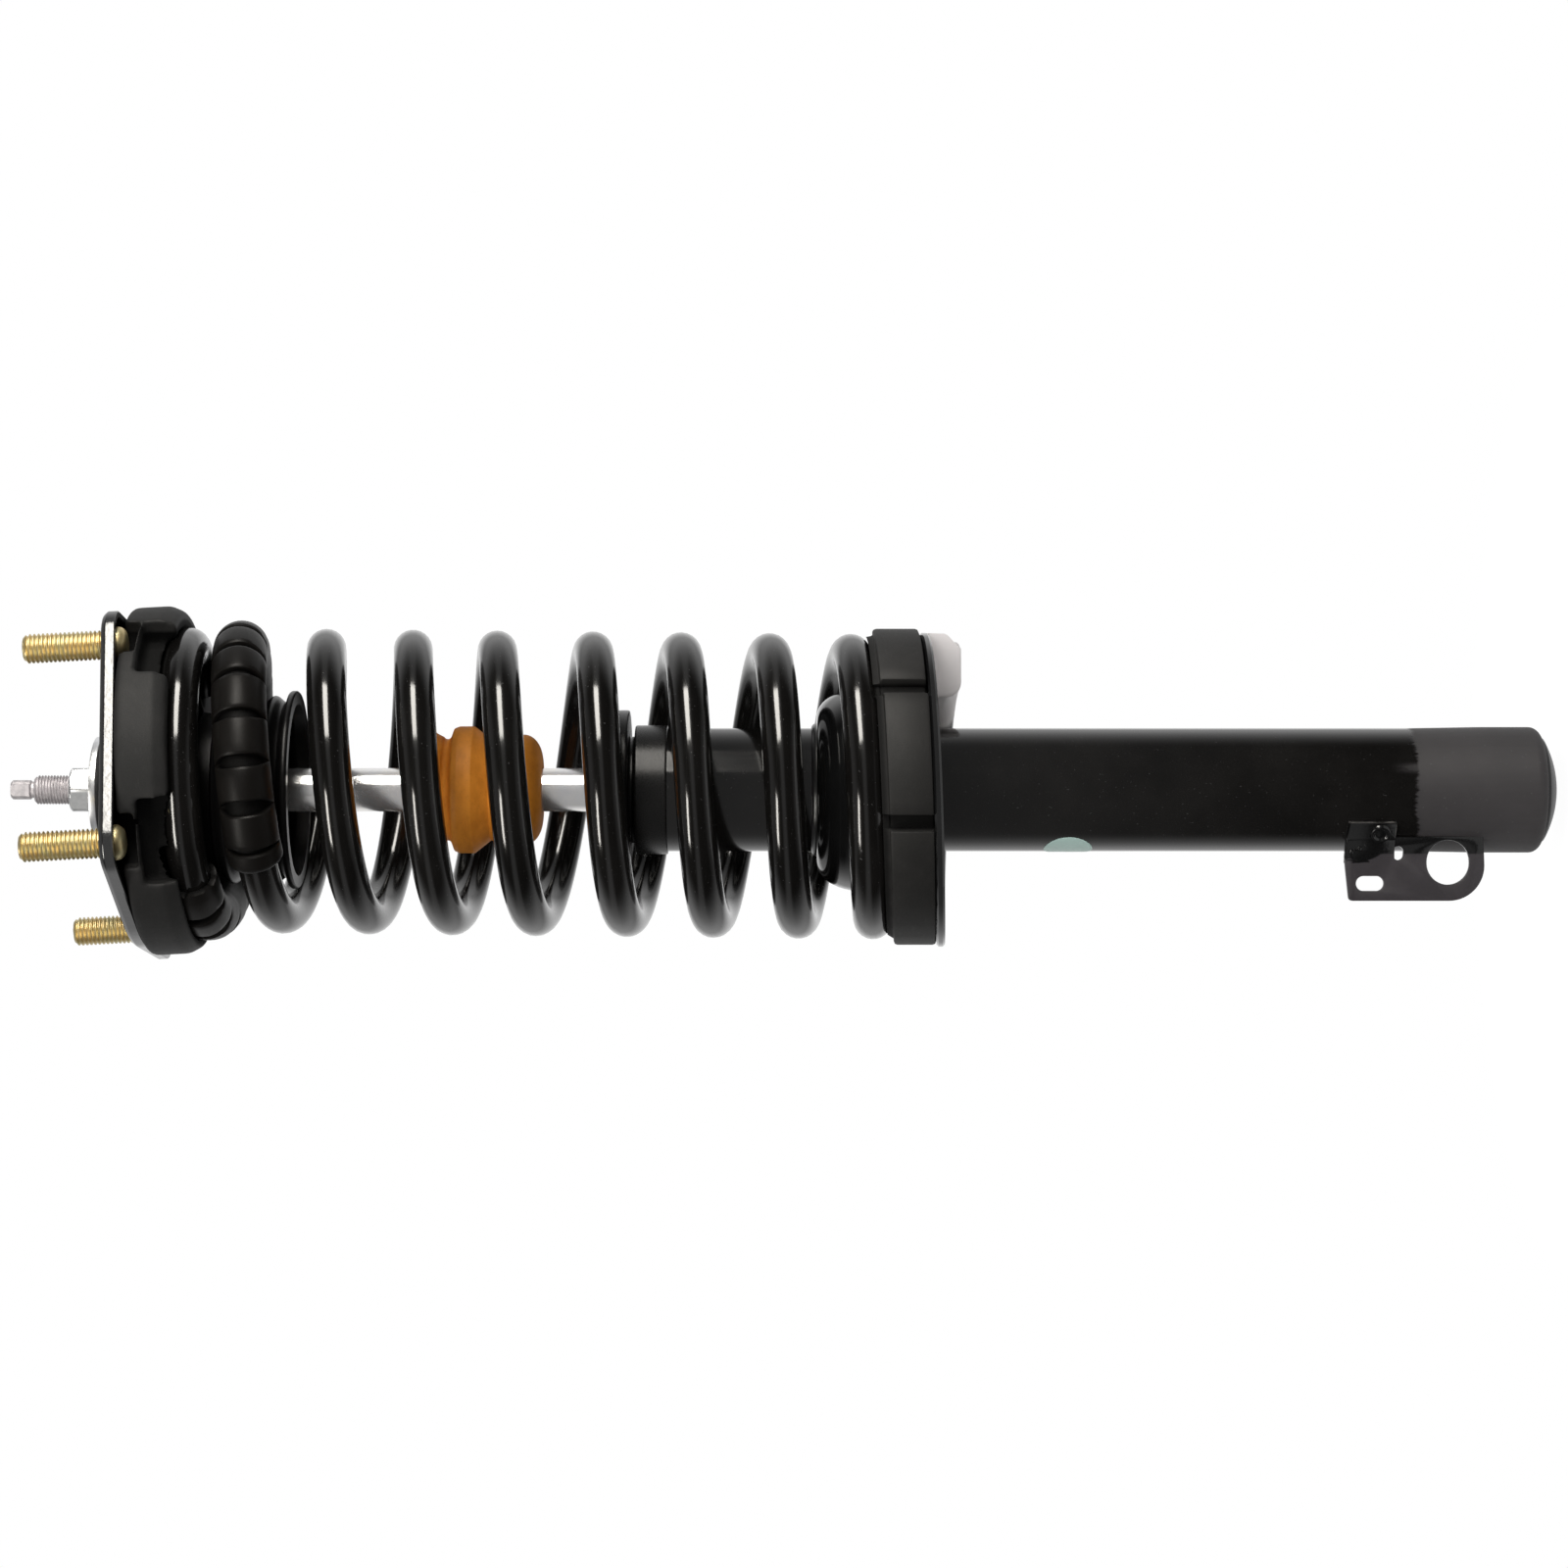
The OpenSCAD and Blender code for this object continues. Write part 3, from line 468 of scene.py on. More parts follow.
        def eased_tip(p: Vector) -> Vector:
            """Draws a point in to the chamfer under the thread's top."""
            limit = radius - chamfer + max(0.0, top - p.z)
            r = math.hypot(p.x, p.y)
            share = min(1.0, limit / r) if r > 0.1 else 1.0
            return Vector((p.x * share, p.y * share, p.z))

        self.move_points(screw, eased_tip)
        return screw

    def apply(self, piece: bpy.types.Object, kind: str, **settings: Any) -> None:
        """Adds a modifier and applies it.

        Args:
            piece: The piece to change.
            kind: The modifier's type.
            **settings: Its settings.
        """
        self.pick(piece)
        change = piece.modifiers.new(kind.lower(), kind)
        for key, value in settings.items():
            setattr(change, key, value)
        bpy.ops.object.modifier_apply(modifier=change.name)

    def cut(self, piece: bpy.types.Object, *tools: bpy.types.Object) -> None:
        """Cuts tools out of a piece and removes them.

        Args:
            piece: The piece to cut.
            *tools: What is cut out of it.
        """
        for tool in tools:
            self.apply(piece, "BOOLEAN", object=tool, operation="DIFFERENCE", solver="EXACT")
            bpy.data.objects.remove(tool)

    def join(self, first: bpy.types.Object, *others: bpy.types.Object) -> bpy.types.Object:
        """Joins pieces into the first one."""
        self.pick(first, *others)
        bpy.ops.object.join()
        return first

    def copy(self, piece: bpy.types.Object) -> bpy.types.Object:
        """A copy of a piece with its own mesh."""
        self.pick(piece)
        bpy.ops.object.duplicate(linked=False)
        return bpy.context.active_object

    def put(self, piece: bpy.types.Object, place: Matrix) -> bpy.types.Object:
        """Moves a piece and leaves its place in its mesh.

        Args:
            piece: The piece to move.
            place: Where it goes, in metres.

        Returns:
            The same piece.
        """
        piece.matrix_world = place
        self.pick(piece)
        bpy.ops.object.transform_apply(location=True, rotation=True, scale=True)
        return piece

    def move_points(self, piece: bpy.types.Object, rule: Callable[[Vector], Vector]) -> None:
        """Moves each point of a mesh by a rule in millimetres.

        Args:
            piece: The piece to change.
            rule: Takes a point and returns its new place.
        """
        for vert in piece.data.vertices:
            vert.co = rule(vert.co / MM) * MM
        piece.data.update()

    def shade(self, piece: bpy.types.Object, angle: float) -> None:
        """Shades a piece smooth except at edges sharper than an angle in degrees."""
        self.pick(piece)
        bpy.ops.object.shade_smooth_by_angle(angle=math.radians(angle))

    def keep_rest(self, piece: bpy.types.Object) -> None:
        """Stores where each point is at rest, for a material that reads its patterns from there."""
        store = piece.data.attributes.new(REST, "FLOAT_VECTOR", "POINT")
        for item, vert in zip(store.data, piece.data.vertices):
            item.vector = vert.co

    def keep_depth(self, piece: bpy.types.Object, line: Sequence[Vector]) -> None:
        """Stores how far each point is from a line, for a material that paints shade into recesses.

        Args:
            piece: The piece to measure.
            line: Close points on the line.
        """
        tree = kdtree.KDTree(len(line))
        for k, point in enumerate(line):
            tree.insert(point, k)
        tree.balance()
        store = piece.data.attributes.new(DEPTH, "FLOAT", "POINT")
        for item, vert in zip(store.data, piece.data.vertices):
            item.value = tree.find(vert.co / MM)[2]


# ---------------------------------------------------------------- shader maths


class Signal:
    """A shader socket that takes part in Python expressions."""

    def __init__(self, graph: Graph, socket: bpy.types.NodeSocket) -> None:
        """Wraps a socket of a graph."""
        self.graph = graph
        self.socket = socket

    def __add__(self, other: Number) -> Signal:
        """This plus another."""
        return self.graph.maths("ADD", self, other)

    def __radd__(self, other: Number) -> Signal:
        """Another plus this."""
        return self.graph.maths("ADD", other, self)

    def __sub__(self, other: Number) -> Signal:
        """This less another."""
        return self.graph.maths("SUBTRACT", self, other)

    def __rsub__(self, other: Number) -> Signal:
        """Another less this."""
        return self.graph.maths("SUBTRACT", other, self)

    def __mul__(self, other: Number) -> Signal:
        """This times another."""
        return self.graph.maths("MULTIPLY", self, other)

    def __rmul__(self, other: Number) -> Signal:
        """Another times this."""
        return self.graph.maths("MULTIPLY", other, self)

    def __truediv__(self, other: Number) -> Signal:
        """This over another."""
        return self.graph.maths("DIVIDE", self, other)

    def __pow__(self, other: Number) -> Signal:
        """This to a power."""
        return self.graph.maths("POWER", self, other)

    def __abs__(self) -> Signal:
        """This without its sign."""
        return self.graph.maths("ABSOLUTE", self)

    def band(self, low: float, high: float) -> Signal:
        """Rises smoothly from 0 at low to 1 at high."""
        node = self.graph.node(
            "ShaderNodeMapRange",
            {"interpolation_type": "SMOOTHSTEP"},
            {"Value": self, "From Min": low, "From Max": high},
        )
        return self.graph.out(node, "Result")


class Graph:
    """Builds the node tree of one material."""

    def __init__(self, tree: bpy.types.NodeTree, bends: bool = False) -> None:
        """Starts an empty tree.

        Args:
            tree: The tree to fill.
            bends: Whether patterns follow the stored rest place instead of the object's.
        """
        self.tree = tree
        self.tree.nodes.clear()
        if bends:
            node = self.node("ShaderNodeAttribute", {"attribute_name": REST})
            self.place = self.out(node, "Vector")
        else:
            self.place = self.out(self.node("ShaderNodeTexCoord"), "Object")

    def node(
        self,
        kind: str,
        settings: dict[str, Any] | None = None,
        sockets: dict[str | int, Any] | None = None,
    ) -> bpy.types.Node:
        """Adds any node.

        Args:
            kind: The node's type.
            settings: Its settings, set first; "stops" fills a colour ramp.
            sockets: Values or links of its inputs, by name or place.

        Returns:
            The node.
        """
        node = self.tree.nodes.new(kind)
        for key, value in (settings or {}).items():
            if key == "stops":
                ramp = node.color_ramp.elements
                while len(ramp) < len(value):
                    ramp.new(0.5)
                for stop, (place, colour) in zip(ramp, value):
                    stop.position = place
                    stop.color = (*colour, 1)
            else:
                setattr(node, key, value)
        for key, value in (sockets or {}).items():
            socket = self.socket(node.inputs, key)
            if isinstance(value, Signal):
                self.tree.links.new(value.socket, socket)
            elif isinstance(value, tuple) and socket.type == "RGBA":
                socket.default_value = (*value[:3], 1)
            else:
                socket.default_value = value
        return node

    @staticmethod
    def socket(sockets: Iterable[bpy.types.NodeSocket], key: str | int) -> bpy.types.NodeSocket:
        """Finds an enabled socket by its name, or any by its place."""
        if isinstance(key, int):
            return list(sockets)[key]
        return next(s for s in sockets if s.name == key and s.enabled)

    def out(self, node: bpy.types.Node, key: str | int = 0) -> Signal:
        """An output of a node as a signal."""
        return Signal(self, self.socket(node.outputs, key))

    def maths(self, operation: str, a: Number, b: Number | None = None) -> Signal:
        """Adds a Math node."""
        values = {0: a} if b is None else {0: a, 1: b}
        return self.out(self.node("ShaderNodeMath", {"operation": operation}, values))

    def vector(self, operation: str, a: Any, b: Any) -> Signal:
        """Adds a Vector Math node."""
        return self.out(self.node("ShaderNodeVectorMath", {"operation": operation}, {0: a, 1: b}))

    def axes(self, place: Signal | None = None) -> tuple[Signal, Signal, Signal]:
        """The three numbers of a place."""
        node = self.node("ShaderNodeSeparateXYZ", None, {0: place or self.place})
        return self.out(node, 0), self.out(node, 1), self.out(node, 2)

    def stretched(self, x: float, y: float, z: float) -> Signal:
        """The place with each axis scaled."""
        return self.vector("MULTIPLY", self.place, (x, y, z))

    def grain(
        self, size: float, detail: float = 2, rough: float = 0.5, place: Signal | None = None
    ) -> Signal:
        """Noise with spots of a size in millimetres.

        Args:
            size: Size of the largest spots.
            detail: Octaves of finer noise.
            rough: How strong they are.
            place: Where it is read, if not on the piece's own place.

        Returns:
            A number round 0.5.
        """
        node = self.node(
            "ShaderNodeTexNoise",
            None,
            {
                "Vector": place or self.place,
                "Scale": 1 / (size * MM),
                "Detail": detail,
                "Roughness": rough,
            },
        )
        return self.out(node, 0)

    def cells(self, size: float, place: Signal | None = None) -> Signal:
        """Distance to the nearest of scattered points, 0 at a point."""
        node = self.node(
            "ShaderNodeTexVoronoi",
            {"feature": "F1"},
            {"Vector": place or self.place, "Scale": 1 / (size * MM)},
        )
        return self.out(node, "Distance")

    def blend(self, share: Number, a: Any, b: Any) -> Signal:
        """Mixes two colours."""
        node = self.node(
            "ShaderNodeMix",
            {"data_type": "RGBA", "clamp_factor": True},
            {"Factor": share, "A": a, "B": b},
        )
        return self.out(node, "Result")

    def relief(self, height: Signal, depth: float, strength: float = 1.0) -> Signal:
        """A Bump node.

        Args:
            height: The relief, 0 to 1.
            depth: Its depth in millimetres.
            strength: Share of it that shows.

        Returns:
            The bent normal.
        """
        node = self.node(
            "ShaderNodeBump", None, {"Height": height, "Distance": depth * MM, "Strength": strength}
        )
        return self.out(node, "Normal")

    def surface(self, **sockets: Any) -> None:
        """Ends the tree in a Principled shader.

        Args:
            **sockets: Its inputs, with _ for each space.
        """
        values = {key.replace("_", " "): value for key, value in sockets.items()}
        shader = self.node("ShaderNodeBsdfPrincipled", None, values)
        self.node("ShaderNodeOutputMaterial", None, {"Surface": self.out(shader)})


# ---------------------------------------------------------------- finishes


def shaded(colour: Colour, factor: float) -> Colour:
    """A colour made darker or lighter by a factor."""
    return tuple(min(1.0, c * factor) for c in colour)


@dataclass(frozen=True)
class Finish:
    """What a surface is made of or coated with."""

    name: str
    colour: Colour
    roughness: float
    bends: bool = False

    def material(self) -> bpy.types.Material:
        """The finish's material, made the first time that it is asked for."""
        made = bpy.data.materials.get(self.name)
        if made is None:
            made = bpy.data.materials.new(self.name)
            made.use_nodes = True
            made.diffuse_color = (*self.colour, 1)
            self.dress(Graph(made.node_tree, self.bends))
        return made

    def dress(self, graph: Graph) -> None:
        """Fills the material's tree."""
        raise NotImplementedError


@dataclass(frozen=True)
class Paint(Finish):
    """Black paint on steel, with orange peel, a faint haze and specks of dust."""

    peel: float = 3.0
    depth: float = 0.03
    haze: float = 0.06
    gloss: float = 0.5

    def mottled(self, graph: Graph, size: float, factor: float = 1.7) -> tuple[Signal, Signal]:
        """Soft patches, and the paint's colour made paler in them.

        Args:
            graph: The material's tree.
            size: Size of the patches in millimetres.
            factor: How much paler they are.

        Returns:
            The patches and the colour.
        """
        patches = graph.grain(size, 3, 0.55)
        paler = shaded(self.colour, factor)
        return patches, graph.blend(patches.band(0.35, 0.75), self.colour, paler)

    def dress(self, graph: Graph) -> None:
        """Fills the material's tree."""
        peel = graph.grain(self.peel, 2, 0.4)
        fine = graph.grain(self.peel / 5, 2, 0.5)
        patches, tone = self.mottled(graph, 38)
        specks = graph.grain(0.9, 1, 0.4).band(0.72, 0.8)
        tone = graph.blend(specks * 0.25, tone, DUST)
        rough = self.roughness + (patches - 0.5) * self.haze + specks * 0.2
        graph.surface(
            Base_Color=tone,
            Roughness=rough,
            Specular_IOR_Level=self.gloss,
            Normal=graph.relief(peel + fine * 0.3, self.depth),
        )


@dataclass(frozen=True)
class PlatePaint(Paint):
    """Black paint, glossy on the plate's rim and matte on its face, which tilts."""

    slope: float = 0.0524
    matte: float = 0.55

    def dress(self, graph: Graph) -> None:
        """Fills the material's tree."""
        x, _, z = graph.axes()
        face = ((z - x * self.slope) / MM).band(-1.0, -0.4)
        peel = graph.grain(self.peel, 2, 0.4)
        patches, tone = self.mottled(graph, 30)
        scuffs = graph.grain(3, 4, 0.7, graph.stretched(3, 1, 1)).band(0.6, 0.75) * face
        tone = graph.blend(scuffs * 0.3, tone, (0.07, 0.07, 0.07))
        graph.surface(
            Base_Color=tone,
            Roughness=self.roughness + face * self.matte + (patches - 0.5) * self.haze,
            Specular_IOR_Level=self.gloss,
            Normal=graph.relief(peel, self.depth),
        )


@dataclass(frozen=True)
class BracketPaint(Paint):
    """Satin tab, gloss black ear, painted shade on the tab by the tube and painted edge highlights.
    """

    black: Colour = (0.005, 0.005, 0.005)
    line_x: float = -26.2
    ear_z: float = -521.2
    ear_x: float = -13.2

    def dress(self, graph: Graph) -> None:
        """Fills the material's tree."""
        x, _, z = graph.axes()
        x, z = x / MM, z / MM
        streaks = graph.grain(2.2, 3, 0.6, graph.stretched(1, 1, 0.3))
        fuzzy = z.band(-517.0, -509.0)
        # gloss black: the ear's own paint, and painted shade on the tab's strip by the tube
        gloss_black_and_shade = (x - self.line_x + fuzzy * (streaks * 7 - 0.5)).band(-0.5, 0.5)
        peel = graph.grain(self.peel, 2, 0.4)
        _, satin = self.mottled(graph, 14, 1.35)
        tone = graph.blend(gloss_black_and_shade, satin, self.black)
        # painted highlights: pale lines along the ear's lower end and its outer edge
        ends = (1 - abs(z - self.ear_z).band(0.15, 0.5)) * x.band(-20.0, -18.5)
        top = (1 - abs(x - self.ear_x).band(0.15, 0.6)) * z.band(self.ear_z, self.ear_z + 2)
        painted_edge_highlight = graph.maths("MAXIMUM", ends, top) * streaks.band(0.3, 0.6)
        tone = graph.blend(painted_edge_highlight * 0.8, tone, (0.15, 0.14, 0.13))
        graph.surface(
            Base_Color=tone,
            Roughness=self.roughness - gloss_black_and_shade * 0.24,
            Specular_IOR_Level=self.gloss,
            Normal=graph.relief(peel + streaks * gloss_black_and_shade, self.depth),
        )


@dataclass(frozen=True)
class SeatPaint(Paint):
    """Gloss black paint, with a pale painted reflection on the wall of the seat's step.

    The wall begins across inner_x, reaches from front_y to back_y and lies below top_z.
    """

    pale: Colour = (0.94, 0.89, 0.87)
    inner_x: tuple[float, float] = (24.5, 27.0)
    front_y: tuple[float, float] = (-3.0, -1.5)
    back_y: tuple[float, float] = (27.0, 32.0)
    top_z: float = -329.5

    def dress(self, graph: Graph) -> None:
        """Fills the material's tree."""
        x, y, z = graph.axes()
        dust = graph.grain(5, 4, 0.6)
        # painted reflection: share marks the step's wall, whose pale colour stands in for white
        # surroundings reflected there
        across = (y / MM).band(*self.front_y) * (1 - (y / MM).band(*self.back_y))
        share = across * (x / MM).band(*self.inner_x) * (self.top_z - z / MM).band(0.0, 1.0)
        # painted shade: the reflection is painted darker towards the strut's axis, and the dust
        # noise mottles it
        painted_reflection_fade = (x / MM).band(28.0, 62.0)
        peel = graph.grain(self.peel, 2, 0.4)
        patches, black = self.mottled(graph, 38)
        pale = graph.blend(painted_reflection_fade + (dust - 0.5) * 0.5, shaded(self.pale, 0.85), self.pale)
        graph.surface(
            Base_Color=graph.blend(share, black, pale),
            Roughness=self.roughness + share * 0.3 + (patches - 0.5) * 0.05,
            Specular_IOR_Level=self.gloss,
            Normal=graph.relief(peel + dust * share, self.depth),
        )


@dataclass(frozen=True)
class TubePaint(Finish):
    """Gloss black paint that ends in a dull clamp zone with a ragged edge."""

    dull: Colour = (0.042, 0.0375, 0.0385)
    edge_z: float = -529.2
    smear_x: float = 9.0
    gloss: float = 0.4

    def dress(self, graph: Graph) -> None:
        """Fills the material's tree."""
        x, y, z = graph.axes()
        wander = (graph.grain(22, 2, 0.5) - 0.5) * (3 * MM)
        fray = (graph.grain(1.2, 3, 0.7, graph.stretched(1, 1, 0.15)) - 0.5) * (5 * MM)
        # a thin smear runs up the front of the tube, and the edge stays back below it
        front = 1 - (y / (20 * MM)).band(-1.0, 0.0)
        low = (1 - ((x + 13 * MM) / (3 * MM)).band(-1.0, 1.0)) * (-1.8 * MM)
        edge = self.edge_z * MM + wander + fray + low * front
        bare = ((edge - z) / (1.2 * MM)).band(-1.0, 1.0)
        thin = 1 - (abs(x - self.smear_x * MM) / (3.0 * MM)).band(0.2, 1.0)
        smear = thin * front * (1 - ((z - edge) / (12 * MM)).band(-0.1, 1.0))
        bare = graph.maths("MAXIMUM", bare, smear * 0.6)
        peel = graph.grain(7, 2, 0.4)
        sand = graph.grain(0.5, 3, 0.6)
        patches = graph.grain(30, 3, 0.55)
        streaks = graph.grain(2, 2, 0.5, graph.stretched(1, 1, 0.03))
        specks = graph.grain(1.0, 1, 0.4).band(0.72, 0.8)
        black = graph.blend(patches.band(0.35, 0.8), self.colour, shaded(self.colour, 1.8))
        grey = graph.blend(
            patches.band(0.3, 0.7) * 0.6 + streaks * 0.3, self.dull, shaded(self.dull, 0.66)
        )
        tone = graph.blend(bare, black, grey)
        tone = graph.blend(specks * 0.2, tone, DUST)
        rough = self.roughness + bare * 0.45 + (streaks - 0.5) * 0.04 + (patches - 0.5) * 0.04
        height = peel * 0.4 + sand * bare * 0.5 + (1 - bare) * 0.6
        graph.surface(
            Base_Color=tone,
            Roughness=rough,
            Specular_IOR_Level=self.gloss,
            Normal=graph.relief(height, 0.03),
        )


@dataclass(frozen=True)
class Rubber(Finish):
    """Moulded rubber with a fine grain, a dusty bloom and scuffs.

    Recesses get painted shade: their colour is darkened, and they are also made duller. Where deep
    is given, they lie inside a radius round the strut: it holds the centre's X and the radius.
    Where wire_shade_reach is given, they lie near the line of the wire: they are darkest up to its
    first distance and end at its second.
    """

    bloom: Colour = (0.075, 0.073, 0.07)
    grain: float = 0.7
    depth: float = 0.06
    gloss: float = 0.22
    deep: tuple[float, float] = (0.0, 0.0)
    wire_shade_reach: tuple[float, float] | None = None

    def dress(self, graph: Graph) -> None:
        """Fills the material's tree."""
        bloom = graph.grain(26, 4, 0.6).band(0.42, 0.78)
        scuffs = graph.grain(5, 4, 0.7, graph.stretched(1, 1, 3.5)).band(0.55, 0.75)
        grain = graph.grain(self.grain, 3, 0.6)
        pits = graph.cells(1.6).band(0.0, 0.25)
        tone = graph.blend(bloom * 0.6 + scuffs * 0.25, self.colour, self.bloom)
        rough = self.roughness + (grain - 0.5) * 0.15 - scuffs * 0.06
        # painted shade in recesses: inside a radius round the strut, or near the wire, the colour
        # goes near black
        centre, inside = self.deep
        outside_painted_shade = None
        if inside:
            x, y, _ = graph.axes()
            x, y = x / MM - centre, y / MM
            outside_painted_shade = ((x * x + y * y) ** 0.5).band(inside - 1.5, inside + 0.5)
        elif self.wire_shade_reach:
            node = graph.node("ShaderNodeAttribute", {"attribute_name": DEPTH})
            outside_painted_shade = graph.out(node, "Fac").band(*self.wire_shade_reach)
        if outside_painted_shade is not None:
            tone = graph.blend(outside_painted_shade, shaded(self.colour, 0.12), tone)
            rough = rough + (1 - outside_painted_shade) * 0.25
        graph.surface(
            Base_Color=tone,
            Roughness=rough,
            Specular_IOR_Level=self.gloss,
            Normal=graph.relief(grain + pits * 0.35, self.depth),
        )


@dataclass(frozen=True)
class Plating(Finish):
    """Bare, plated or ground metal, with tool marks round the axis or a plain grain."""

    second: Colour = (0.5, 0.5, 0.5)
    patch: float = 6.0
    lines: float = 0.0
    metal: float = 1.0

    def dress(self, graph: Graph) -> None:
        """Fills the material's tree."""
        patches = graph.grain(self.patch, 3, 0.6)
        fine = graph.grain(0.35, 3, 0.6)
        rings = graph.grain(0.22, 3, 0.6, graph.stretched(0.02, 0.02, 1))
        tone = graph.blend(patches.band(0.35, 0.7), self.colour, self.second)
        rough = self.roughness + (patches - 0.5) * 0.12 + (rings - 0.5) * (0.3 * self.lines)
        height = rings * self.lines + fine * (1 - self.lines) * 0.5
        graph.surface(
            Base_Color=tone,
            Metallic=self.metal,
            Roughness=rough,
            Normal=graph.relief(height, 0.012),
        )


@dataclass(frozen=True)
class Urethane(Finish):
    """Foamed urethane with a skin, pores and darker flow marks."""

    second: Colour = (0.4, 0.17, 0.03)

    def dress(self, graph: Graph) -> None:
        """Fills the material's tree."""
        flow = graph.grain(11, 3, 0.6, graph.stretched(1, 1, 2.2))
        mottle = graph.grain(2.4, 3, 0.6)
        pores = graph.cells(1.3).band(0.05, 0.3)
        skin = graph.grain(0.5, 3, 0.6)
        tone = graph.blend(flow.band(0.35, 0.75) * 0.55, self.colour, self.second)
        tone = graph.blend((1 - pores) * 0.45 + (mottle - 0.45) * 0.4, tone, self.second)
        graph.surface(
            Base_Color=tone,
            Roughness=self.roughness + (skin - 0.5) * 0.2,
            Specular_IOR_Level=0.08,
            Normal=graph.relief(skin * 0.4 + pores * 0.5 + mottle * 0.6, 0.1),
        )


@dataclass(frozen=True)
class Film(Finish):
    """A printed paper label under a clear film, yellowed and lifted a little at its edge."""

    second: Colour = (0.5, 0.7, 0.62)

    def dress(self, graph: Graph) -> None:
        """Fills the material's tree."""
        fibres = graph.grain(1.2, 4, 0.65, graph.stretched(1, 1, 4))
        blush = graph.grain(6, 2, 0.5).band(0.4, 0.8)
        tone = graph.blend(blush * 0.35 + (fibres - 0.5) * 0.3, self.colour, self.second)
        graph.surface(
            Base_Color=tone,
            Roughness=self.roughness + (fibres - 0.5) * 0.2,
            Normal=graph.relief(fibres, 0.02),
        )


class Coat(Enum):
    """The finishes of this strut."""

    PLATE = PlatePaint("plate_paint", (0.010, 0.010, 0.010), 0.16, peel=1.8, depth=0.03, gloss=1.0)
    SPRING = Paint("coil_paint", (0.006, 0.0055, 0.005), 0.14, True, peel=4, depth=0.012)
    SEAT = SeatPaint("seat_paint", (0.005, 0.005, 0.005), 0.1, peel=5, depth=0.02)
    BASE = Paint("base_paint", (0.006, 0.006, 0.007), 0.2, peel=5, depth=0.02)
    BRACKET = BracketPaint(
        "bracket_paint", (0.034, 0.029, 0.032), 0.42, peel=1.2, depth=0.03, gloss=0.45
    )
    WELD = Paint("weld_paint", (0.016, 0.016, 0.017), 0.3, peel=1.6, depth=0.06)
    CUP = Paint("cup_paint", (0.02, 0.02, 0.021), 0.42, peel=1.5, depth=0.03)
    TUBE = TubePaint("tube_paint", (0.006, 0.0055, 0.005), 0.1)
    # deep and wire_shade_reach set where painted shade darkens the rubber's recesses
    UPPER_RUBBER = Rubber(
        "upper_rubber", (0.017, 0.0165, 0.0155), 0.6, bloom=(0.034, 0.032, 0.03), gloss=0.16,
        deep=(3.0, 68.0),
    )
    LOWER_RUBBER = Rubber(
        "lower_rubber", (0.015, 0.0142, 0.013), 0.6, bloom=(0.03, 0.028, 0.026), deep=(1.2, 63.2)
    )
    SLEEVE = Rubber(
        "sleeve_rubber", (0.0065, 0.0056, 0.0048), 0.42, bloom=(0.013, 0.0113, 0.0097), depth=0.03,
        gloss=0.1, wire_shade_reach=(8.7, 10.7),
    )
    BUSHING = Rubber("bushing_rubber", (0.022, 0.022, 0.023), 0.6)
    BOOT = Rubber(
        "boot_plastic", (0.007, 0.0065, 0.0065), 0.32, bloom=(0.013, 0.0125, 0.012), depth=0.02,
        gloss=0.14,
    )
    CAP = Rubber(
        "cap_plastic", (0.008, 0.0075, 0.007), 0.28, bloom=(0.016, 0.015, 0.014), depth=0.02
    )
    SEAL = Rubber("seal_rubber", (0.018, 0.018, 0.018), 0.5)
    ZINC = Plating("zinc_gold", (0.63, 0.50, 0.26), 0.43, second=(0.55, 0.50, 0.30))
    NUT = Plating("nut_zinc", (0.74, 0.75, 0.76), 0.32, second=(0.60, 0.61, 0.62), patch=3)
    WASHER = Plating("washer_zinc", (0.72, 0.73, 0.74), 0.34, second=(0.6, 0.61, 0.63), patch=5)
    TIP = Plating(
        "rod_tip", (0.56, 0.53, 0.54), 0.55, second=(0.42, 0.40, 0.41), patch=2, metal=0.6
    )
    CHROME = Plating(
        "rod_chrome", (0.92, 0.90, 0.87), 0.17, second=(0.85, 0.85, 0.86), patch=14, lines=0.5,
        metal=0.8,
    )
    STEEL = Plating(
        "turned_steel", (0.56, 0.56, 0.58), 0.34, second=(0.47, 0.47, 0.49), lines=1.0
    )
    SINTER = Plating("sintered_iron", (0.34, 0.34, 0.35), 0.5, second=(0.26, 0.26, 0.27), patch=1)
    BRONZE = Plating("sliding_bronze", (0.50, 0.33, 0.15), 0.4, second=(0.36, 0.24, 0.12), patch=2)
    URETHANE = Urethane("urethane_foam", (0.86, 0.31, 0.036), 0.55, second=(0.57, 0.175, 0.015))
    LABEL = Film("label_film", (0.50, 0.68, 0.62), 0.4, second=(0.42, 0.58, 0.52))

    def material(self) -> bpy.types.Material:
        """The material of this coat."""
        return self.value.material()


# ---------------------------------------------------------------- helix of the spring


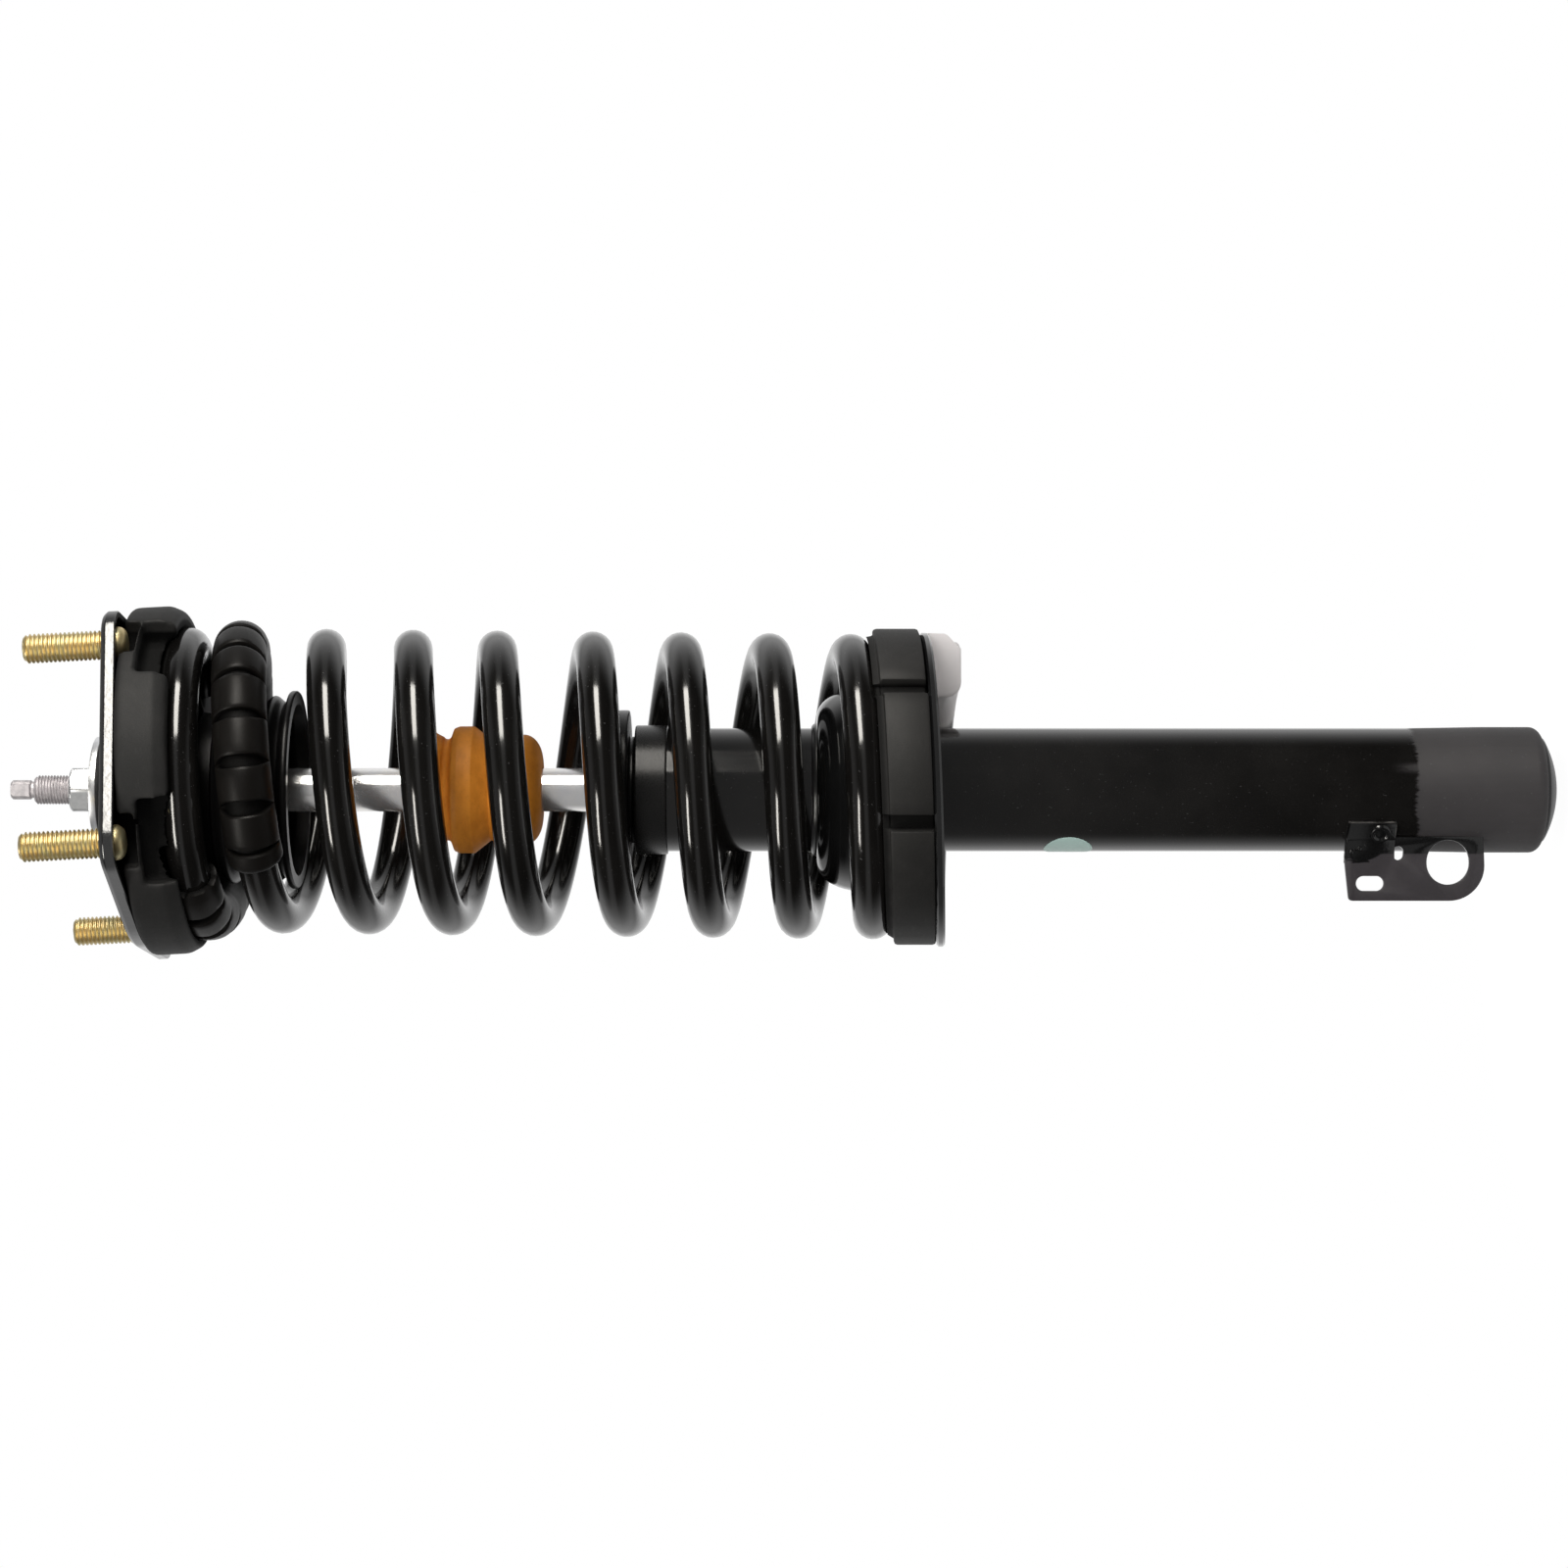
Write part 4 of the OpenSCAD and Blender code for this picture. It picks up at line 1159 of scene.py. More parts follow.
@dataclass(frozen=True)
class Helix:
    """The line of the spring's wire. Turn 0 lies at azimuth 0; turns run down, over -Y."""

    radius: float = 55.2
    wire: float = 8.0
    z0: float = -25.0
    turns: float = 9.0
    first: float = -0.12
    last: float = 8.955
    closed: float = 16.8
    pitch: float = 36.2
    open_from: float = 0.4
    open_to: float = 1.15
    shut_from: float = 7.75
    shut_to: float = 8.25
    offset_top: float = 4.0
    offset_low: float = 1.2
    sway_from: float = 2.0
    sway: tuple[float, ...] = (0.8, 0.8, 1.2, 2.6, 2.6, 4.2, -0.8, 2.8, -1.0, 3.2, -1.4, 4.2)

    def uneven(self, n: float) -> float:
        """How much a half turn lies above its even place, as a wound spring's do."""
        knots = (0.0, *self.sway, 0.0)
        at = (n - self.sway_from) * 2 + 1
        if not 0 <= at < len(knots) - 1:
            return 0.0
        k = int(at)
        return knots[k] + (knots[k + 1] - knots[k]) * eased(at - k)

    def drop(self, n: float) -> float:
        """Fall of the wire's centre below turn 0 after n turns."""
        stops = (self.open_from, self.open_to, self.shut_from, self.shut_to)
        speeds = (self.closed, self.pitch, self.pitch, self.closed)
        fall = self.closed * min(n, stops[0])
        for (a, b), (p, q) in zip(zip(stops, stops[1:]), zip(speeds, speeds[1:])):
            if n > a:
                t = min(n, b) - a
                fall += p * t + (q - p) * t * t / (2 * (b - a))
        if n > stops[-1]:
            fall += self.closed * (n - stops[-1])
        return fall

    def height(self, n: float) -> float:
        """Height of the wire's centre."""
        return self.z0 - self.drop(n) + self.uneven(n)

    def side(self, n: float) -> float:
        """Sideways offset of the coil's centre."""
        share = self.drop(n) / self.drop(self.turns)
        return self.offset_top + (self.offset_low - self.offset_top) * share

    def centre(self, n: float) -> Vector:
        """The wire's centre after n turns."""
        return Vector((self.side(n), 0, self.height(n))) + self.radius * self.outward(n)

    def outward(self, n: float) -> Vector:
        """Direction from the axis to the wire."""
        return Vector((math.cos(math.tau * n), -math.sin(math.tau * n), 0))

    def upward(self, n: float) -> Vector:
        """Direction across the wire, towards the mount."""
        run = self.centre(n + 0.002) - self.centre(n - 0.002)
        return self.outward(n).cross(run).normalized() * -1

    def at(self, n: float, r: float, angle: float) -> Point:
        """A point round the wire: angle 0 is outward and a quarter turn is up."""
        p = self.centre(n) + r * (
            math.cos(angle) * self.outward(n) + math.sin(angle) * self.upward(n)
        )
        return tuple(p)


# ---------------------------------------------------------------- sub-assemblies


@dataclass
class SubAssembly:
    """Pieces that are built and dressed together."""

    bench: Workbench = field(default_factory=Workbench)

    def place(
        self,
        piece: bpy.types.Object,
        body: Body,
        slot: Slot,
        coat: Coat,
        *nodes: str,
        sharp: float = 32,
    ) -> None:
        """Shades and dresses a piece, hangs it on its body and lets it stand for CAD nodes.

        Args:
            piece: The finished piece.
            body: What it moves with.
            slot: A material slot, not used.
            coat: Its finish.
            *nodes: The CAD nodes that it stands for.
            sharp: Edges that turn by more than this many degrees stay sharp.
        """
        self.bench.shade(piece, sharp)
        piece.data.materials.clear()
        piece.data.materials.append(coat.material())
        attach(piece, body.value)
        self.sign(piece, slot, *nodes)

    def sign(self, piece: bpy.types.Object, slot: Slot, *nodes: str) -> None:
        """Hides the CAD nodes that a piece stands for, and reports it."""
        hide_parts(*nodes)
        LOG.info("%s: %d faces, for %s", piece.name, len(piece.data.polygons), ", ".join(nodes))


@dataclass
class TopMount(SubAssembly):
    """Mount plate, studs, centre bushing, washer, nut and the upper isolator.

    Each of iso_notches is an azimuth and half a width. Each of grooves is the first and the last
    turn of the wire that lies in it, and its radius: the bare wire's, then the sleeve's.
    """

    plate_t: float = 3.0
    plate_steps: int = 360
    rim_h: float = 6.0
    tilt: float = 3.0
    back_r: float = 66.0
    corner_r: float = 13.5
    hole_r: float = 27.0
    stud_r: float = 6.0
    stud_l: float = 33.0
    stud_pitch: float = 1.75
    stud_at: float = 70.0
    stud_turn: float = 0.9
    stud_angles: tuple[float, ...] = (-33.0, -107.5, 147.0)
    head_r: float = 7.2
    head_h: float = 5.9
    sleeve_r: float = 11.0
    bore_r: float = 26.0
    housing_h: float = 28.0
    washer_r: float = 22.0
    washer_z: tuple[float, float] = (9.0, 12.0)
    nut_z: tuple[float, float] = (12.0, 24.0)
    nut_flats: float = 18.0
    nut_flange_r: float = 13.0
    iso_r: float = 72.0
    iso_bore: float = 42.0
    iso_low: float = -27.0
    iso_offset: float = 3.0
    iso_notches: tuple[tuple[float, float], ...] = (
        (-37.5, 16.5),
        (-108.4, 18.3),
        (147.0, 16.5),
    )
    notch_top: float = -14.0
    pocket_r: float = 11.7
    pocket_low: float = -13.0
    grooves: tuple[tuple[float, float, float], ...] = ((-0.135, 0.42, 8.7), (0.32, 1.2, 11.6))
    voxel: float = 1.05

    def build(self) -> None:
        """Builds every piece of the mount."""
        self.mount_plate()
        self.studs()
        self.bushing()
        self.washer()
        self.nut()
        self.isolator()

    def tilted(self, piece: bpy.types.Object) -> bpy.types.Object:
        """Turns a piece from the plate's frame into the strut's."""
        return self.bench.put(piece, turned(-self.tilt, "Y"))

    def edge(self, inset: float, z: float) -> Ring:
        """The plate's outline, drawn in by an inset.

        The outline is a belt round one large circle and a small one at each stud. It is walked in
        fine steps, which are then read at even azimuths.

        Args:
            inset: How far inside the edge the ring runs.
            z: Its height.

        Returns:
            The ring.
        """
        count, fine, chords = self.plate_steps, 4 * self.plate_steps, 40
        rounds = [(0.0, 0.0, self.back_r)] + [
            (*polar(self.stud_at, math.radians(a), 0)[:2], self.corner_r) for a in self.stud_angles
        ]
        hull: list[Vector] = []
        for k in range(fine):
            u = Vector(polar(1, math.tau * k / fine, 0)[:2])
            x, y, r = max(rounds, key=lambda c: c[0] * u.x + c[1] * u.y + c[2])
            point = Vector((x, y)) + (r - inset) * u
            if hull and (point - hull[-1]).length > 2:
                start = hull[-1]
                hull += [start.lerp(point, t / chords) for t in range(1, chords)]
            hull.append(point)
        line = sorted((math.atan2(p.y, p.x) % math.tau, p.length) for p in hull)
        line = [(line[-1][0] - math.tau, line[-1][1]), *line, (line[0][0] + math.tau, line[0][1])]
        ring, at = [], 0
        for k in range(count):
            angle = math.tau * k / count
            while line[at + 1][0] < angle:
                at += 1
            (a0, r0), (a1, r1) = line[at], line[at + 1]
            share = (angle - a0) / max(a1 - a0, 1e-9)
            ring.append(polar(r0 + (r1 - r0) * share, angle, z))
        return ring

    def mount_plate(self) -> None:
        """The pressed plate with its turned-down rim and the collar of its hole."""
        t, low, count = self.plate_t, -self.rim_h, self.plate_steps
        rings = [self.edge(0.4, low), self.edge(0, low + 0.4), self.edge(0, low + 0.7)]
        rings += [self.edge(0, -t + 0.6), self.edge(0, -t + 0.9)]
        rings += [self.edge(t - x, z - t) for x, z in arc(0, 0, t, 28, 90, 5)]
        inner = [(46, 0), (31.5, 0)]
        inner += [(self.hole_r + 2 + x, z) for x, z in arc(0, -2, 2, 90, 180, 4)]
        inner += [(self.hole_r, -t + 0.5), (self.hole_r + 0.5, -t), (46, -t)]
        rings += [hoop(r, z, count) for r, z in inner]
        rings += [self.edge(5, -t), self.edge(3.6, -t - 0.5), self.edge(3, -t - 1.6)]
        rings += [self.edge(3, low + 0.5), self.edge(2.5, low)]
        plate = self.bench.loft("mount_plate_visual", rings, loop=True)
        self.tilted(plate)
        self.place(plate, Body.TOP, Slot.GLOSS_BLACK, Coat.PLATE, "mount_plate", sharp=40)

    def studs(self) -> None:
        """Three plated studs, each a thread on a shoulder over a domed head."""
        r, top = self.stud_r, self.stud_l
        thread = self.bench.thread("studs_visual", r, self.stud_pitch, -0.5, top, 1.4)
        head = -self.plate_t - self.head_h
        outline = [(0, head)]
        outline += arc(self.head_r - 4, head + 4, 4, -90, 0, 7)
        outline += [(self.head_r, -3.6), (self.head_r - 0.4, -3.05), (r + 0.45, -3.05)]
        outline += [(r + 0.45, 0.3), (r + 0.1, 0.7), (r - 1.2, 0.7), (0, 0.7)]
        body = self.bench.turn("stud_head", outline, 48, closed=False)
        stud = self.bench.join(thread, body)
        studs = []
        for k, angle in enumerate(self.stud_angles):
            one = stud if k == 2 else self.bench.copy(stud)
            own_turn = Matrix.Rotation(self.stud_turn * k, 4, "Z")
            studs.append(
                self.bench.put(one, turned(angle) @ moved(self.stud_at, 0, 0) @ own_turn)
            )
        stud = self.bench.join(studs[2], *studs[:2])
        self.tilted(stud)
        self.place(stud, Body.TOP, Slot.ZINC, Coat.ZINC, "mount_studs", sharp=28)

    def bushing(self) -> None:
        """The bushing's rubber: a crown that leans from the rod's axis to the tilted plate."""
        r0, r1, low = self.sleeve_r, self.bore_r, -self.housing_h + 1
        outline = [(r0, 7.6), (r0 + 0.8, 8.0), (r0 + 4, 8.0)]
        outline += arc(r0 + 5.2, 4.4, 3.6, 80, 10, 6)
        outline += [(r1 - 5.4, 0.8), (r1 - 4.4, -0.6), (r1 - 3.2, -0.9), (r1 - 2, -0.6)]
        outline += [(r1 - 1, -1.6), (r1 - 0.2, -3.4), (r1, -5), (r1, low + 1.5)]
        outline += [(r1 - 1.5, low), (r1 - 6, low + 3), (r0 + 5, low + 3), (r0 + 1, low), (r0, low)]
        rubber = self.bench.turn("bushing_rubber_visual", outline, 96)
        lean = turned(-self.tilt, "Y").to_3x3()

        def leaning(p: Vector) -> Vector:
            """Turns a point with the plate, and less so the nearer it is to the rod."""
            share = eased((math.hypot(p.x, p.y) - r0) / (r1 - r0))
            return p.lerp(lean @ p, share)

        self.bench.move_points(rubber, leaning)
        self.place(rubber, Body.TOP, Slot.RUBBER, Coat.BUSHING, "bushing_rubber", sharp=50)

    def washer(self) -> None:
        """The dished washer under the nut."""
        low, high = self.washer_z
        r, bore = self.washer_r, self.stud_r + 0.3
        outline = [(bore, low), (bore, high), (r - 6, high), (r - 3.5, high + 0.4)]
        outline += [(r, high + 1.5), (r, high - 1.5), (r - 3.5, low + 0.4), (r - 6, low)]
        washer = self.bench.turn("washer_visual", rounded(outline, 0.5), 96)
        self.place(washer, Body.TOP, Slot.STEEL, Coat.WASHER, "upper_washer")

    def nut(self) -> None:
        """The flange nut: a hexagon that grows out of a sloping flange."""
        low, top = self.nut_z
        bore, wide = self.stud_r, self.nut_flange_r
        flat, count = self.nut_flats / 2, 96
        corner = flat / math.cos(math.pi / 6)

        def reach(angle: float, z: float) -> float:
            """The nut's radius at an azimuth and a height."""
            side = (angle + math.pi / 6) % (math.pi / 3) - math.pi / 6
            hexagon = min(flat / math.cos(side), corner - 0.25)
            cone = corner - 0.2 - max(0.0, z - (top - 1.5)) * 1.15
            skirt = wide - 0.25 - max(0.0, z - low - 1.6) * 1.9
            return max(min(hexagon, cone), skirt, flat - 1.6)

        rings = [hoop(bore, low, count), hoop(wide - 0.4, low, count), hoop(wide, low + 0.4, count)]
        angles = [math.tau * k / count for k in range(count)]
        for z in [low + 1.3, *spread(low + 1.6, low + 4.2, 9), *spread(top - 1.6, top, 7)]:
            rings.append([polar(reach(a, z), a, z) for a in angles])
        rings += [hoop(bore + 1, top, count), hoop(bore + 0.1, top - 0.9, count)]
        nut = self.bench.loft("nut_visual", rings, loop=True)
        self.place(nut, Body.TOP, Slot.STEEL, Coat.NUT, "rod_nut", sharp=25)

    def channel(self, helix: Helix, start: float, end: float, r: float) -> bpy.types.Object:
        """The groove that a turn of the wire lies in, open downwards.

        Args:
            helix: The line of the wire.
            start: First turn of the groove.
            end: Last turn of the groove.
            r: Radius of the groove.

        Returns:
            A tool to cut with.
        """
        rings = []
        for n in spread(start, end, int((end - start) * 64) + 2):
            a = -math.tau * n
            section = [(r * math.cos(b), r * math.sin(b)) for b in spread(0, math.pi, 15)]
            section += [(-r, -30.0), (r, -30.0)]
            rings.append(
                [
                    (helix.side(n) + (helix.radius + u) * math.cos(a),
                     (helix.radius + u) * math.sin(a), helix.height(n) + v)
                    for u, v in section
                ]
            )
        return self.bench.loft("groove", rings)

    def isolator(self) -> None:
        """The rubber under the plate, notched below the studs and grooved for the wire."""
        r, bore, low = self.iso_r, self.iso_bore, self.iso_low
        pad = self.back_r - self.plate_t - 3.4
        outline = [(bore, low), (bore, -self.plate_t - 0.1), (pad, -self.plate_t - 0.1)]
        outline += [(pad, -self.rim_h - 0.3), (r, -self.rim_h - 0.3)]
        outline += [(r, low + 5.5), (r - 2.6, low)]
        body = self.bench.turn("upper_isolator_visual", rounded(outline, 2.6, steps=5), 128)
        self.bench.put(body, moved(self.iso_offset, 0, 0))
        tools = []
        for azimuth, w in self.iso_notches:
            notch = self.bench.block(
                "notch", (pad + 2, -w, low - 12), (pad + 40, w, self.notch_top), 1.6
            )
            tools.append(self.bench.put(notch, turned(azimuth)))
        wide, deep = self.pocket_r, self.pocket_low
        for angle in self.stud_angles:
            outline = [(0, deep), (wide, deep), (wide, 2), (0, 2)]
            pocket = self.bench.turn("pocket", outline, 48, closed=False)
            tools.append(self.bench.put(pocket, turned(angle) @ moved(self.stud_at, 0, 0)))
        self.bench.cut(body, *tools)
        self.tilted(body)
        grooves = [self.channel(Helix(), *groove) for groove in self.grooves]
        self.bench.cut(body, *grooves)
        self.bench.apply(body, "REMESH", mode="VOXEL", voxel_size=self.voxel * MM)
        self.bench.apply(body, "SMOOTH", factor=0.5, iterations=4)
        self.place(body, Body.TOP, Slot.RUBBER, Coat.UPPER_RUBBER, "upper_isolator", sharp=60)


@dataclass
class RodAndBumper(SubAssembly):
    """The piston rod with what rides on it, the dust boot and the jounce bumper."""

    rod_r: float = 9.0
    thread_r: float = 6.0
    thread_pitch: float = 1.25
    neck_r: float = 3.4
    tip_r: float = 4.0
    tip_flat: float = 3.0
    shoulder_z: float = -34.0
    tip_z: float = 39.0
    top_z: float = 49.0
    low_z: float = -312.7
    piston_z: float = -282.7
    shank_r: float = 5.5
    boot_top: float = -31.0
    boot_r: float = 39.0
    boot_wall: float = 2.0
    boot_fold: float = 2.6
    pleats: int = 3
    pleated_l: float = 26.0
    cup_r: float = 30.0
    bumper_top: float = -117.5
    bumper_l: float = 53.5
    bumper_r: float = 26.3
    groove_r: float = 21.3
    lip_r: float = 12.7
    rebound_z: tuple[float, float] = (-236.0, -241.5)
    rebound_r: float = 13.8

    def build(self) -> None:
        """Builds the rod, the boot and the bumper."""
        self.rod()
        self.rod_end()
        self.boot()
        self.bumper()
        self.rebound()

    def rod(self) -> None:
        """The ground and plated rod below its shoulder, and the plain core of its thread."""
        r, core = self.rod_r, self.thread_r - 1.0
        outline = [(0, self.low_z), (self.shank_r - 0.8, self.low_z)]
        outline += [(self.shank_r, self.low_z + 0.8), (self.shank_r, self.piston_z)]
        outline += [(r - 0.4, self.piston_z), (r, self.piston_z + 0.4)]
        outline += [(r, self.shoulder_z - 0.6), (r - 0.6, self.shoulder_z), (core, self.shoulder_z)]
        outline += [(core, 20), (0, 20)]
        rod = self.bench.turn("rod_visual", outline, 96, closed=False)
        self.place(rod, Body.TOP, Slot.CHROME, Coat.CHROME, "piston_rod")

    def rod_end(self) -> None:
        """The threaded end over the nut, its neck and the tip with two flats."""
        top, tip, neck, r = self.top_z, self.tip_z, self.neck_r, self.tip_r
        end = self.bench.thread("rod_end_visual", self.thread_r, self.thread_pitch, 8.0, tip, 1.0)
        outline = [(0, tip - 2), (neck, tip - 2), (neck, tip + 1.4), (r, tip + 2)]
        outline += [(r, z) for z in spread(tip + 2.4, top - 0.8, 8)] + [(r - 0.8, top), (0, top)]
        point = self.bench.turn("tip", outline, 96, closed=False)

        def flattened(p: Vector) -> Vector:
            """Presses a point of the tip onto its two flats."""
            y = min(self.tip_flat, max(-self.tip_flat, p.y)) if p.z > tip + 2.2 else p.y
            return Vector((p.x, y, p.z))

        self.bench.move_points(point, flattened)
        end = self.bench.join(end, point)
        self.place(end, Body.TOP, Slot.STEEL, Coat.TIP, "piston_rod", sharp=28)

    def boot(self) -> None:
        """The pleated boot that hangs from the bumper cup."""
        wall, fold, pleats = self.boot_wall, self.boot_fold, self.pleats
        start, pitch = self.boot_top - 8, self.pleated_l / pleats
        wave = [
            (self.boot_r - fold * (0.5 + 0.5 * math.cos(math.tau * t)), start - pitch * t)
            for t in spread(0, pleats, 12 * pleats + 1)
        ]
        low = start - pitch * pleats
        outer = [(self.cup_r, self.boot_top), (self.cup_r + wall, self.boot_top)]
        outer += [(self.cup_r + wall, start + 1.5), *wave]
        lip = [(self.boot_r - 1.6, low - 1.6), (self.boot_r + 1.6, low - 2.2)]
        lip += [(self.boot_r + 2, low - 2.8), (self.boot_r + 2, low - 4.4)]
        lip += [(self.boot_r + 1.4, low - 5), (self.boot_r - 3.4, low - 5)]
        inner = [(r - wall, z) for r, z in reversed(wave)] + [(self.cup_r, start + 1)]
        boot = self.bench.turn("dust_boot_visual", outer + lip + inner, 128)
        self.place(boot, Body.TOP, Slot.SATIN_BLACK, Coat.BOOT, "dust_boot", sharp=45)

    def bumper(self) -> None:
        """The lobed bump stop, loose on the rod."""
        top, low = self.bumper_top, self.bumper_top - self.bumper_l
        r2 = self.bumper_r
        r1, r3 = r2 - 1.8, r2 - 3.4
        groove, bore = self.groove_r, self.rod_r + 0.3
        outline = [(bore, top), (r1 - 4.5, top)]
        outline += arc(r1 - 4, top - 4, 4, 90, 0, 8)
        outline += arc(r1 - 2, top - 8, 2, 0, -60, 5)
        outline += arc(groove + 1.5, top - 14.3, 1.8, 120, 240, 8)
        waist = [(groove + 1.2, top - 16.2), (r2 - 0.8, top - 17.3), (r2, top - 19.5)]
        waist += [(r2, top - 25.5), (r2 - 5.4, top - 32.3)]
        outline += rounded(waist, 0.9, closed=False)
        outline += arc(groove - 0.6, top - 38.3, 4.6, 80, 280, 14)
        outline += arc(r3 - 3, top - 45.5, 3, 60, 0, 5)
        outline += [
            (self.lip_r + (r3 - self.lip_r) * math.cos(t), low + 7.6 * (1 - math.sin(t)))
            for t in spread(0.1, math.pi / 2, 10)
        ]
        outline += [(bore, low)]
        bumper = self.bench.turn("bumper_visual", outline, 128)
        self.place(bumper, Body.BUMPER, Slot.URETHANE, Coat.URETHANE, "jounce_bumper", sharp=50)

    def rebound(self) -> None:
        """The rubber ring under the rod guide, above its stop."""
        bore, top, low = self.rod_r, *self.rebound_z
        r = self.rebound_r
        outline = [(bore, top), (r - 1, top), (r, top - 1), (r - 0.6, top - 2.7)]
        outline += [(r, low + 1), (r - 1, low), (bore, low)]
        ring = self.bench.turn("rebound_visual", rounded(outline, 0.7), 64)
        self.place(ring, Body.TOP, Slot.RUBBER, Coat.SEAL, "rebound_bumper")


@dataclass
class Spring(SubAssembly):
    """The coil spring and the slit sleeve on its first turn."""

    helix: Helix = Helix()
    sides: int = 24
    rings_per_turn: int = 64
    sleeve_from: float = 0.376
    sleeve_to: float = 1.346
    sleeve_r: float = 11.0
    slit_r: float = 8.5
    slit_w: float = 5.2
    slit_pitch: float = 0.0478
    slits: tuple[float, ...] = (1.09, 1.1314, 1.1813, 1.2305, 1.2776, 1.3233)
    still_to: float = 1.4
    still_from: float = 8.25

    def build(self) -> None:
        """Builds the wire and its sleeve."""
        self.wire()
        self.sleeve()

    def share(self, n: float) -> float:
        """A share of a turn's drop, from 0 at the top to 1 at the bottom."""
        a, b = self.helix.drop(self.still_to), self.helix.drop(self.still_from)
        return min(1.0, max(0.0, (self.helix.drop(n) - a) / (b - a)))

    def wire(self) -> None:
        """The wire, swept along the helix of the spring."""
        helix = self.helix
        count = round((helix.last - helix.first) * self.rings_per_turn) + 1
        near = 0.03  # share of a turn within which a point's own section lies
        turns = spread(helix.first, helix.last, count)
        path = [tuple(helix.centre(n)) for n in turns]
        wire = self.bench.sweep("spring_visual", path, helix.wire, self.sides)
        centres = [Vector(p) for p in path]
        for vert in wire.data.vertices:
            p = vert.co / MM
            angle = math.atan2(-p.y, p.x - helix.offset_low) / math.tau % 1.0
            best = min(
                (k for k in range(count) if abs((turns[k] - angle + 0.5) % 1.0 - 0.5) < near),
                key=lambda k: (centres[k] - p).length_squared,
            )
            self.share(turns[best])
        self.bench.keep_rest(wire)
        self.bench.shade(wire, 40)
        wire.data.materials.append(Coat.SPRING.material())
        low, high = helix.centre(helix.first), helix.centre(helix.last)
        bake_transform(wire)
        self.sign(wire, Slot.SPRING, "coil_spring")

    def sleeve(self) -> None:
        """The rubber sleeve, slit from outside into short rings so that it bends."""
        helix, outer, sides = self.helix, self.sleeve_r, 2 * self.sides
        turn = 1 / (math.tau * helix.radius)
        cuts = list(self.slits)
        while cuts[0] - self.slit_pitch > self.sleeve_from + 0.012:
            cuts.insert(0, cuts[0] - self.slit_pitch)

        def open_share(a: float) -> float:
            """How open a slit is at an angle round the wire, 1 on its outer side."""
            away = abs((a + math.pi) % math.tau - math.pi)
            return eased((math.radians(96) - away) / math.radians(60))

        def station(n: float, r: float, depth: float = 0.0, gap: float = 0.0) -> Ring:
            """A section: gap moves it along the wire and depth sinks it, where it is slit."""
            ring = []
            for k in range(sides):
                a = math.tau * k / sides
                share = open_share(a)
                lump = 0.12 * noise.noise(Vector((n * 60, math.cos(a) * 2, math.sin(a) * 2)))
                sink = depth * min(1.0, share * 3)
                ring.append(helix.at(n + gap * share * turn, r - sink + lump, a))
            return ring

        def torn(r: float) -> Ring:
            """The ragged ring at the sleeve's upper end."""
            ring = []
            for k in range(sides):
                a = math.tau * k / sides
                tear = 2.6 * noise.noise(Vector((math.cos(a) * 3, math.sin(a) * 3, 5)))
                ring.append(helix.at(self.sleeve_from + tear * turn, r, a))
            return ring

        rings = [torn(outer - 1.4), torn(outer - 0.5)]
        edges = [self.sleeve_from, *cuts, self.sleeve_to]
        deep = outer - self.slit_r

        def half_slit(k: int) -> float:
            """Half the width of the slit before a segment; the last slit is narrow."""
            share = 0.35 if k == len(edges) - 2 else 0.75 + 0.25 * math.sin(7 * k)
            return self.slit_w * share / 2

        for k, (a, b) in enumerate(zip(edges, edges[1:])):
            first, last = k == 0, k == len(edges) - 2
            before, after = half_slit(k), half_slit(k + 1)
            start, end = a + (3.2 if first else 0.12) * turn, b - (0.6 if last else 0.12) * turn
            if not first:
                rings.append(station(start, outer, deep, before - 0.35))
                rings.append(station(start + 0.05 * turn, outer, 0.5, before - 0.1))
            rings.append(station(start + 0.5 * turn, outer, 0.0, 0.0 if first else before))
            for n in spread(start + 0.5 * turn, end - 0.5 * turn, 7)[1:-1]:
                rings.append(station(n, outer + 0.1))
            rings.append(station(end - 0.5 * turn, outer, 0.0, 0.0 if last else -after))
            if not last:
                rings.append(station(end - 0.05 * turn, outer, 0.5, -after + 0.1))
                rings.append(station(end, outer, deep, -after + 0.35))
        rings.append(station(self.sleeve_to, outer - 0.8))
        bore = helix.wire + 0.15
        rings += [
            [helix.at(n, bore, math.tau * k / sides) for k in range(sides)]
            for n in spread(self.sleeve_to, self.sleeve_from, 40)
        ]
        sleeve = self.bench.loft("spring_sleeve_visual", rings, loop=True)
        # the depth from the wire lets the sleeve's material paint shade into its slits
        line = [helix.centre(n) for n in spread(self.sleeve_from, self.sleeve_to, 400)]
        self.bench.keep_depth(sleeve, line)
        self.place(sleeve, Body.TOP, Slot.RUBBER, Coat.SLEEVE, "spring_sleeve", sharp=35)


